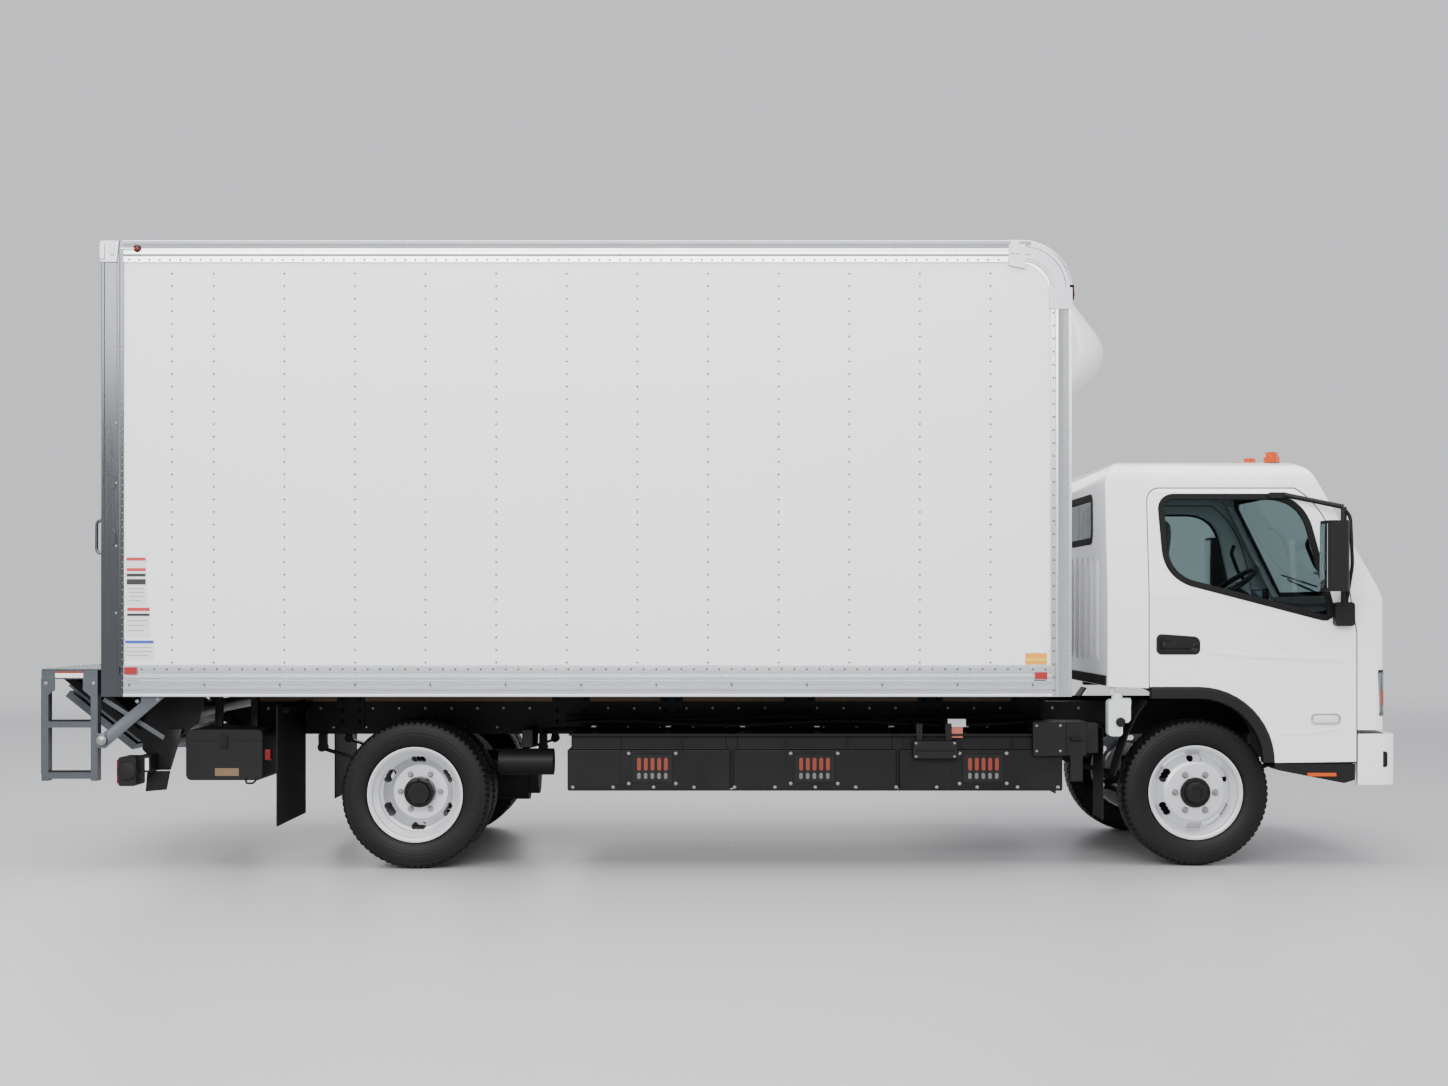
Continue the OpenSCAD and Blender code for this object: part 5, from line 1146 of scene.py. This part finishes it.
def cloth_finish():
    """Dark grey woven cloth: fine noise grain in the bump and roughness, a slow fade in tone, and a little
    sheen.
    """
    m = finish("seat_cloth", (0.10, 0.105, 0.11), 0.9, soil=0.0, mottle=0.25, grain=900, bump=0.35,
               depth=0.0008)
    m.node_tree.nodes["Principled BSDF"].inputs["Sheen Weight"].default_value = 0.25
    return m


cloth = cloth_finish()


def stuffed(size, groove=(), bolster=0.25, e=0.42, nu=72, nv=36):
    """A cushion: rounded block |cos|^e by |sin|^e, its sides raised, grooves pressed across it."""
    u = np.linspace(0, 2 * np.pi, nu, endpoint=False)[:, None]
    v = np.linspace(-np.pi / 2 + 0.03, np.pi / 2 - 0.03, nv)[None, :]
    blunt = lambda a: np.sign(a) * np.abs(a) ** e
    p = np.stack([blunt(np.cos(u)) * blunt(np.cos(v)), blunt(np.sin(u)) * blunt(np.cos(v)),
                  blunt(np.sin(v)) + 0 * u], -1) * np.array(size) / 2
    up = np.clip(p[..., 2] / (size[2] / 2), 0, 1)
    side = np.clip((np.abs(p[..., 1]) / (size[1] / 2) - 0.62) / 0.38, 0, 1)
    p[..., 2] += bolster * size[2] * 0.5 * up * (side * (1 - side) * 4) * 0.8
    for g in groove:
        p[..., 2] -= 0.010 * up * np.exp(-((p[..., 0] - g) / 0.007) ** 2) * (1 - side)
    p[..., 2] -= 0.008 * up * np.exp(-((np.abs(p[..., 1]) - size[1] * 0.31) / 0.006) ** 2)
    return p


def turned(p, centre, tilt):
    """Turned about the truck's cross axis by tilt degrees, then moved to a centre."""
    a = math.radians(tilt)
    q = p.copy()
    q[..., 0] = p[..., 0] * math.cos(a) + p[..., 2] * math.sin(a)
    q[..., 2] = -p[..., 0] * math.sin(a) + p[..., 2] * math.cos(a)
    return q + np.array(centre)


pans = []
for who, y, w in (("outer", -0.640, 0.46), ("middle", -0.140, 0.46), ("driver", 0.520, 0.49)):
    base = turned(stuffed((0.56, w, 0.155), (-0.12, 0.0, 0.12)), (2.605, y, 1.245), -4)
    back = turned(stuffed((0.66, w, 0.135), (-0.20, -0.07, 0.06, 0.19)), (2.350, y, 1.600), -80)
    rest = turned(stuffed((0.165, 0.255, 0.10), (), 0.0, 0.55, 48, 24), (2.296, y, 1.992), -83)
    for kind, shape in (("cushion", base), ("back", back), ("headrest", rest)):
        ob = place(f"seat_{who}_{kind}", [skin(shape, wrap_u=True)], "cab", "seat_cloth", cloth, angle=70)
        bm = bmesh.new()
        bm.from_mesh(ob.data)
        bmesh.ops.holes_fill(bm, edges=bm.edges, sides=0)
        bmesh.ops.recalc_face_normals(bm, faces=bm.faces)
        bm.to_mesh(ob.data)
        bm.free()
        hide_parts("seats")
    pans += [boxes((2.36, y - w / 2 + 0.03, 1.052), (2.84, y + w / 2 - 0.03, 1.182)),
             boxes((2.345, y - w / 2 + 0.05, 1.150), (2.40, y + w / 2 - 0.05, 1.33))]
    for s in (-0.05, 0.05):
        pans.append(tube(np.array([(2.318, y + s, 1.86), (2.305, y + s, 1.93), (2.300, y + s, 1.97)]),
                         0.006, 8, up=(0, 1, 0)))
place("seat_pans", pans, "cab", "seat_cloth", moulded_black, bevel=0.008)
softened("dashboard", "black_plastic", moulded_black, bevel=0.018, steps=3)
softened("steering_wheel", "black_plastic", satin_black, bevel=0.0, angle=50)
screen_glow = finish("display_glass", (0.03, 0.05, 0.07), 0.08, soil=0.0, glow=0.6)
place("dash_display", [boxes((3.150, -0.16, 1.405), (3.185, 0.10, 1.545))], "cab", "black_plastic",
      moulded_black, bevel=0.006)
place("dash_screen", [boxes((3.146, -0.145, 1.418), (3.151, 0.085, 1.532))], "cab", "black_plastic",
      screen_glow)
hood = tube(np.array([(3.20, 0.33, 1.42), (3.20, 0.36, 1.50), (3.20, 0.52, 1.53), (3.20, 0.68, 1.50),
                      (3.20, 0.71, 1.42)]), 0.022, 12, up=(1, 0, 0))
vents = [boxes((3.165, y - 0.06, 1.350), (3.185, y + 0.06, 1.385)) for y in (-0.78, -0.30, 0.22, 0.80)]
place("dash_hood_and_vents", [hood] + vents, "cab", "black_plastic", satin_black, bevel=0.003)
grab = tube(eased([(3.30, -0.82, 1.62), (3.262, -0.80, 1.66), (3.215, -0.79, 1.78), (3.235, -0.80, 1.83)],
                  0.02, 6), 0.012, 12, up=(0, 1, 0))
place("cab_grab_handles", both(grab), "cab", "black_plastic", moulded_black)
place("cab_lining", [boxes((2.085, -0.86, 1.10), (2.100, 0.86, 1.79))], "cab", "cab_inner", trim_grey,
      bevel=0.004)

# ------------------------------------------------------------------ mirrors
# Black moulded heads on tubes, with a curved glass facing the rear.
mirror_glass = finish("mirror_silver", (0.78, 0.80, 0.82), 0.03, metal=1.0, soil=0.0, mottle=0.0, bump=0.0)
for side, s in (("right", 0), ("left", 1)):
    softened(f"mirror_{side}", "black_plastic", moulded_black, bevel=0.008, angle=40, steps=3)
    t, z = np.meshgrid(np.linspace(-0.064, 0.064, 15), np.linspace(1.535, 1.878, 9), indexing="ij")
    x = 3.231 + np.maximum(0.110 - np.sqrt(0.178 ** 2 - t ** 2), -0.062)
    front = np.stack([x - 0.0030, -1.225 + t, z], -1)
    rear = front + np.array([0.006, 0, 0])
    pane = slab(front, rear)
    place(f"mirror_glass_{side}", [both(q)[s] for q in pane], f"door_{side}", "black_plastic",
          mirror_glass, angle=40)
    stay = tube(eased([(3.335, -1.050, 1.975), (3.372, -1.060, 1.93), (3.378, -1.075, 1.66),
                       (3.352, -1.045, 1.44)], 0.03, 6), 0.010, 12, up=(0, 1, 0))
    clamps = [boxes((3.322, -1.064, z0), (3.358, -1.026, z0 + 0.035)) for z0 in (1.842, 1.542)]
    place(f"mirror_stay_{side}", [both(stay)[s]] + [both(c)[s] for c in clamps], f"door_{side}",
          "black_plastic", satin_black, bevel=0.003)

# ------------------------------------------------------------------ batteries and side boxes
# Three black battery packs with bolted covers and slotted vents over orange
# conductors; boxes and tank hung on brackets from the frame.
softened("battery_packs", "battery_black", satin_black, bevel=0.006)
softened("service_boxes", "black_plastic", moulded_black, bevel=0.006)
orange = finish("orange_conductor", (0.24, 0.022, 0.002), 0.45, soil=0.1, mottle=0.2)
slot_grey = finish("vent_slot_grey", (0.12, 0.12, 0.125), 0.5, soil=0.2)
face = -0.950
frames, reds, greys, vent_screws = [], [], [], []
for x0 in (-0.541, 0.353, 1.285):
    x1, z0, z1 = x0 + 0.19, 0.478, 0.605
    frames.append(prism(rounded(x0 - 0.016, x1 + 0.016, z0 - 0.014, z1 + 0.014, 0.012, 4), face - 0.005,
                        face + 0.004))
    for i in range(5):
        x = x0 + 0.012 + i * 0.037
        reds.append(prism(rounded(x, x + 0.021, z0 + 0.052, z1 - 0.004, 0.010, 4), face - 0.0072,
                          face - 0.003))
        greys.append(prism(rounded(x, x + 0.019, z0 + 0.006, z0 + 0.040, 0.009, 4), face - 0.0072,
                           face - 0.003))
    vent_screws += [(x0 - 0.035, face, z0 - 0.02), (x1 + 0.035, face, z0 - 0.02),
                    (x0 - 0.035, face, z1 + 0.02), (x1 + 0.035, face, z1 + 0.02)]
edge = [(x, face, z) for x in np.arange(-0.885, 1.80, 0.1116) for z in (0.437, 0.716)]
place("battery_vent_frames", mirrored(frames), "chassis", "battery_black", moulded_black, bevel=0.0015)
place("battery_vent_slots", mirrored(reds), "chassis", "battery_black", orange)
place("battery_vent_louvres", mirrored(greys), "chassis", "battery_black", slot_grey)
place("battery_bolts",
      both(copies(head(0.011, 0.006), vent_screws + [(-0.885, face, 0.437)] + edge[::4])), "chassis",
      "battery_black", bolt_steel)
seams = [boxes((x - 0.003, face - 0.0008, 0.425), (x + 0.003, face + 0.004, 0.728))
         for x in (-0.62, -0.28, 0.292, 0.632, 1.204, 1.545)]
lips = [boxes((-0.905, face - 0.012, 0.722), (1.810, face + 0.002, 0.733)),
        boxes((-0.905, face - 0.010, 0.419), (1.810, face + 0.002, 0.428))]
splices = [boxes((x - 0.03, -0.930, 0.43), (x + 0.03, -0.915, 0.72)) for x in (-0.007, 0.911)]
place("battery_splice_plates", mirrored(splices), "chassis", "battery_black", satin_black, bevel=0.002)
place("battery_cover_lips", mirrored(lips + seams), "chassis", "battery_black", satin_black, bevel=0.001)
# Wiring and pipes above the packs, with clipped connectors.
runs = []
for y, z, r, wave in ((-0.62, 0.80, 0.017, 0.010), (-0.54, 0.785, 0.012, 0.016),
                      (-0.70, 0.775, 0.010, 0.012)):
    xs = np.linspace(-0.95, 1.75, 60)
    runs += both(tube(np.stack([xs, y + 0 * xs, z + wave * np.sin(xs * 5 + y * 20)], -1), r, 10))
place("battery_cables", runs, "chassis", "frame_black", rubber)
clips = [boxes((x, -0.715, 0.755), (x + 0.03, -0.52, 0.762)) for x in np.arange(-0.8, 1.7, 0.42)]
place("cable_clips", mirrored(clips), "chassis", "frame_black", bolt_steel, bevel=0.001)
lamp = [boxes((1.202132, -0.955, 0.709952), (1.268324, -0.925, 0.770628))]
bracket = [boxes((1.185584, -0.955, 0.770628), (1.284872, -0.925, 0.814756)),
           boxes((1.224196, -0.945, 0.74), (1.24626, -0.935, 0.709952))]
place("service_label_red", lamp, "chassis", "black_plastic", finish("faded_red", (0.42, 0.10, 0.07), 0.5,
        soil=0.1), bevel=0.002)
place("service_label_holder", bracket, "chassis", "black_plastic",
      finish("pale_plastic", (0.55, 0.56, 0.56), 0.4, soil=0.2), bevel=0.002)
handles = [boxes((1.005, -1.009, 0.640), (1.215, -1.004, 0.650)),
           boxes((1.86, -0.989, 0.70), (1.92, -0.96, 0.715))]
place("service_box_trim", handles, "chassis", "black_plastic", satin_black, bevel=0.002)
heads = [(x, -1.005, z) for x in (1.005, 1.216) for z in (0.612, 0.685)] + [(x, -0.985, z)
        for x in (1.67, 1.80) for z in (0.64, 0.78)]
place("service_box_bolts", both(copies(head(0.008, 0.005), heads)), "chassis", "black_plastic", bolt_steel)
tank_white = finish("tank_plastic", (0.72, 0.76, 0.76), 0.35, soil=0.15, mottle=0.15, coat=0.1)
softened("washer_tank", "tank_plastic", tank_white, bevel=0.014, steps=4, angle=45)
cap = lathe([(0.024, 0.0), (0.026, 0.004), (0.026, 0.016), (0.020, 0.020), (0.001, 0.020)],
            (2.130, -0.985, 0.800), 28)
place("tank_cap", [cap], "chassis", "tank_plastic", moulded_black)
pipe = tube(eased([(2.092, -0.95, 0.955), (2.092, -0.95, 1.030), (2.10, -0.95, 1.085)], 0.02, 6), 0.014,
            12, up=(0, 1, 0))
place("tank_filler_pipe", [pipe], "chassis", "tank_plastic", tank_white)
fit = lathe([(0.020, -0.010), (0.022, 0.0), (0.022, 0.018), (0.012, 0.024)], (2.095, -0.950, 1.010), 24,
            "z", 1.0)
place("tank_fitting", [fit], "chassis", "tank_plastic", finish("blue_fitting", (0.05, 0.35, 0.62), 0.4,
        soil=0.0))

# ------------------------------------------------------------------ lift gate and rear steps
# Black lift frame and arms, galvanised platform with tread ribs, step ladders
# with rubber strips, dock plate, pump box and tail lamps.
softened("pump_box", "black_plastic", moulded_black, bevel=0.004)
hook = tube(eased([(-2.66, -1.064, 0.500), (-2.66, -1.064, 0.470), (-2.62, -1.064, 0.470),
                   (-2.60, -1.064, 0.495)], 0.012, 5), 0.006, 8, up=(0, 1, 0))
lidline = [boxes((-2.985, -1.0612, 0.700), (-2.575, -1.058, 0.706)),
           boxes((-2.80, -1.068, 0.66), (-2.76, -1.060, 0.735))]
place("pump_box_latch", [hook] + lidline, "chassis", "black_plastic", satin_black, bevel=0.001)
place("pump_box_label", [boxes((-2.83, -1.0615, 0.510), (-2.70, -1.0600, 0.552))], "chassis",
      "black_plastic", finish("dull_ochre", (0.16, 0.10, 0.04), 0.5, soil=0.2))
place("side_marker_lamp", both(boxes((-2.560, -1.06, 0.595), (-2.525, -1.02, 0.655))), "chassis",
      "lamp_red", red_lens, bevel=0.006)
softened("lift_mainframe", "frame_black", satin_black, bevel=0.003)
softened("lift_arms", "frame_black", satin_black, bevel=0.004)
dress("lift_shackle", bolt_steel)
softened("lift_platform", "galvanised", zinc, bevel=0.003)
softened("lift_flip", "galvanised", zinc, bevel=0.003)
softened("step_frames", "galvanised", zinc, bevel=0.004)
softened("dock_plate", "galvanised", zinc, bevel=0.002)
grid = [(x, y, 1.100) for x in np.arange(-3.70, -3.41, 0.045) for y in np.arange(-1.15, 1.16, 0.09)]
bump = lathe([(0.0125, -0.001), (0.010, 0.0018), (0.001, 0.0024)], (0, 0, 0), 6, "z", 1.0)
place("dock_plate_tread", [copies(bump, grid)], "chassis", "galvanised", zinc)
rubber_rear = [boxes((-3.732, -1.198, 0.53), (-3.7245, -1.162, 1.05))]
place("step_rubbers", mirrored(rubber_rear), "chassis", "rubber_black", rubber, bevel=0.003)
treads = [boxes((-3.684, -1.213, z1 - 0.001), (-3.463, -1.148, z1 + 0.006)) for z1 in (0.818, 0.544)]
place("step_treads", mirrored(treads), "chassis", "rubber_black", rubber, bevel=0.002)
big = lathe([(0.026, -0.004), (0.026, 0.006), (0.018, 0.007), (0.018, 0.018), (0.014, 0.020),
             (0.001, 0.020)], (-3.396, -1.226, 0.716), 24)
plain = copies(head(0.012, 0.008), [(-3.700, -1.209, 1.02), (-3.444, -1.209, 1.02),
                                    (-3.21, -1.206, 0.925), (-3.10, -1.206, 0.935)])
place("step_bolts", both(big) + both(plain), "chassis", "galvanised", bolt_steel)
second_brace = prism([(-3.415, 0.925), (-3.400, 0.945), (-3.075, 0.735), (-3.085, 0.712)], -1.160, -1.150)
place("step_second_brace", both(second_brace), "chassis", "galvanised", zinc, bevel=0.002)
paper = finish("blank_label", (0.80, 0.80, 0.78), 0.45, soil=0.05)
place("step_labels", both(boxes((-3.650, -1.2110, 1.052), (-3.500, -1.2085, 1.076))), "chassis",
      "galvanised", paper)
place("step_label_bars", both(boxes((-3.650, -1.2112, 1.076), (-3.500, -1.2085, 1.086))), "chassis",
      "galvanised", orange)
softened("tail_lamps", "black_plastic", moulded_black, bevel=0.006)
lens = [boxes((-3.3400, -1.148, 0.476), (-3.329, -1.075, 0.606)), boxes((-3.3375, -1.070, 0.545),
        (-3.329, -0.995, 0.606))]
place("tail_lamp_lenses", mirrored(lens), "chassis", "lamp_red", red_lens, bevel=0.003)
dome = lathe([(0.052, -0.004), (0.052, 0.004), (0.046, 0.010), (0.020, 0.014), (0.001, 0.0145)],
             (-3.283, -1.150, 0.545), 32)
place("tail_lamp_sides", both(dome), "chassis", "black_plastic", moulded_black)
clear = boxes((-3.3375, -1.070, 0.476), (-3.329, -0.995, 0.538))
place("reverse_lamp_lenses", both(clear), "chassis", "lamp_clear", paper, bevel=0.003)
place("tail_blank_labels", both(boxes((-3.20, -1.1015, 0.545), (-3.18, -1.1000, 0.61))), "chassis",
      "black_plastic", paper)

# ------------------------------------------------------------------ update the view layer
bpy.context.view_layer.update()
import json
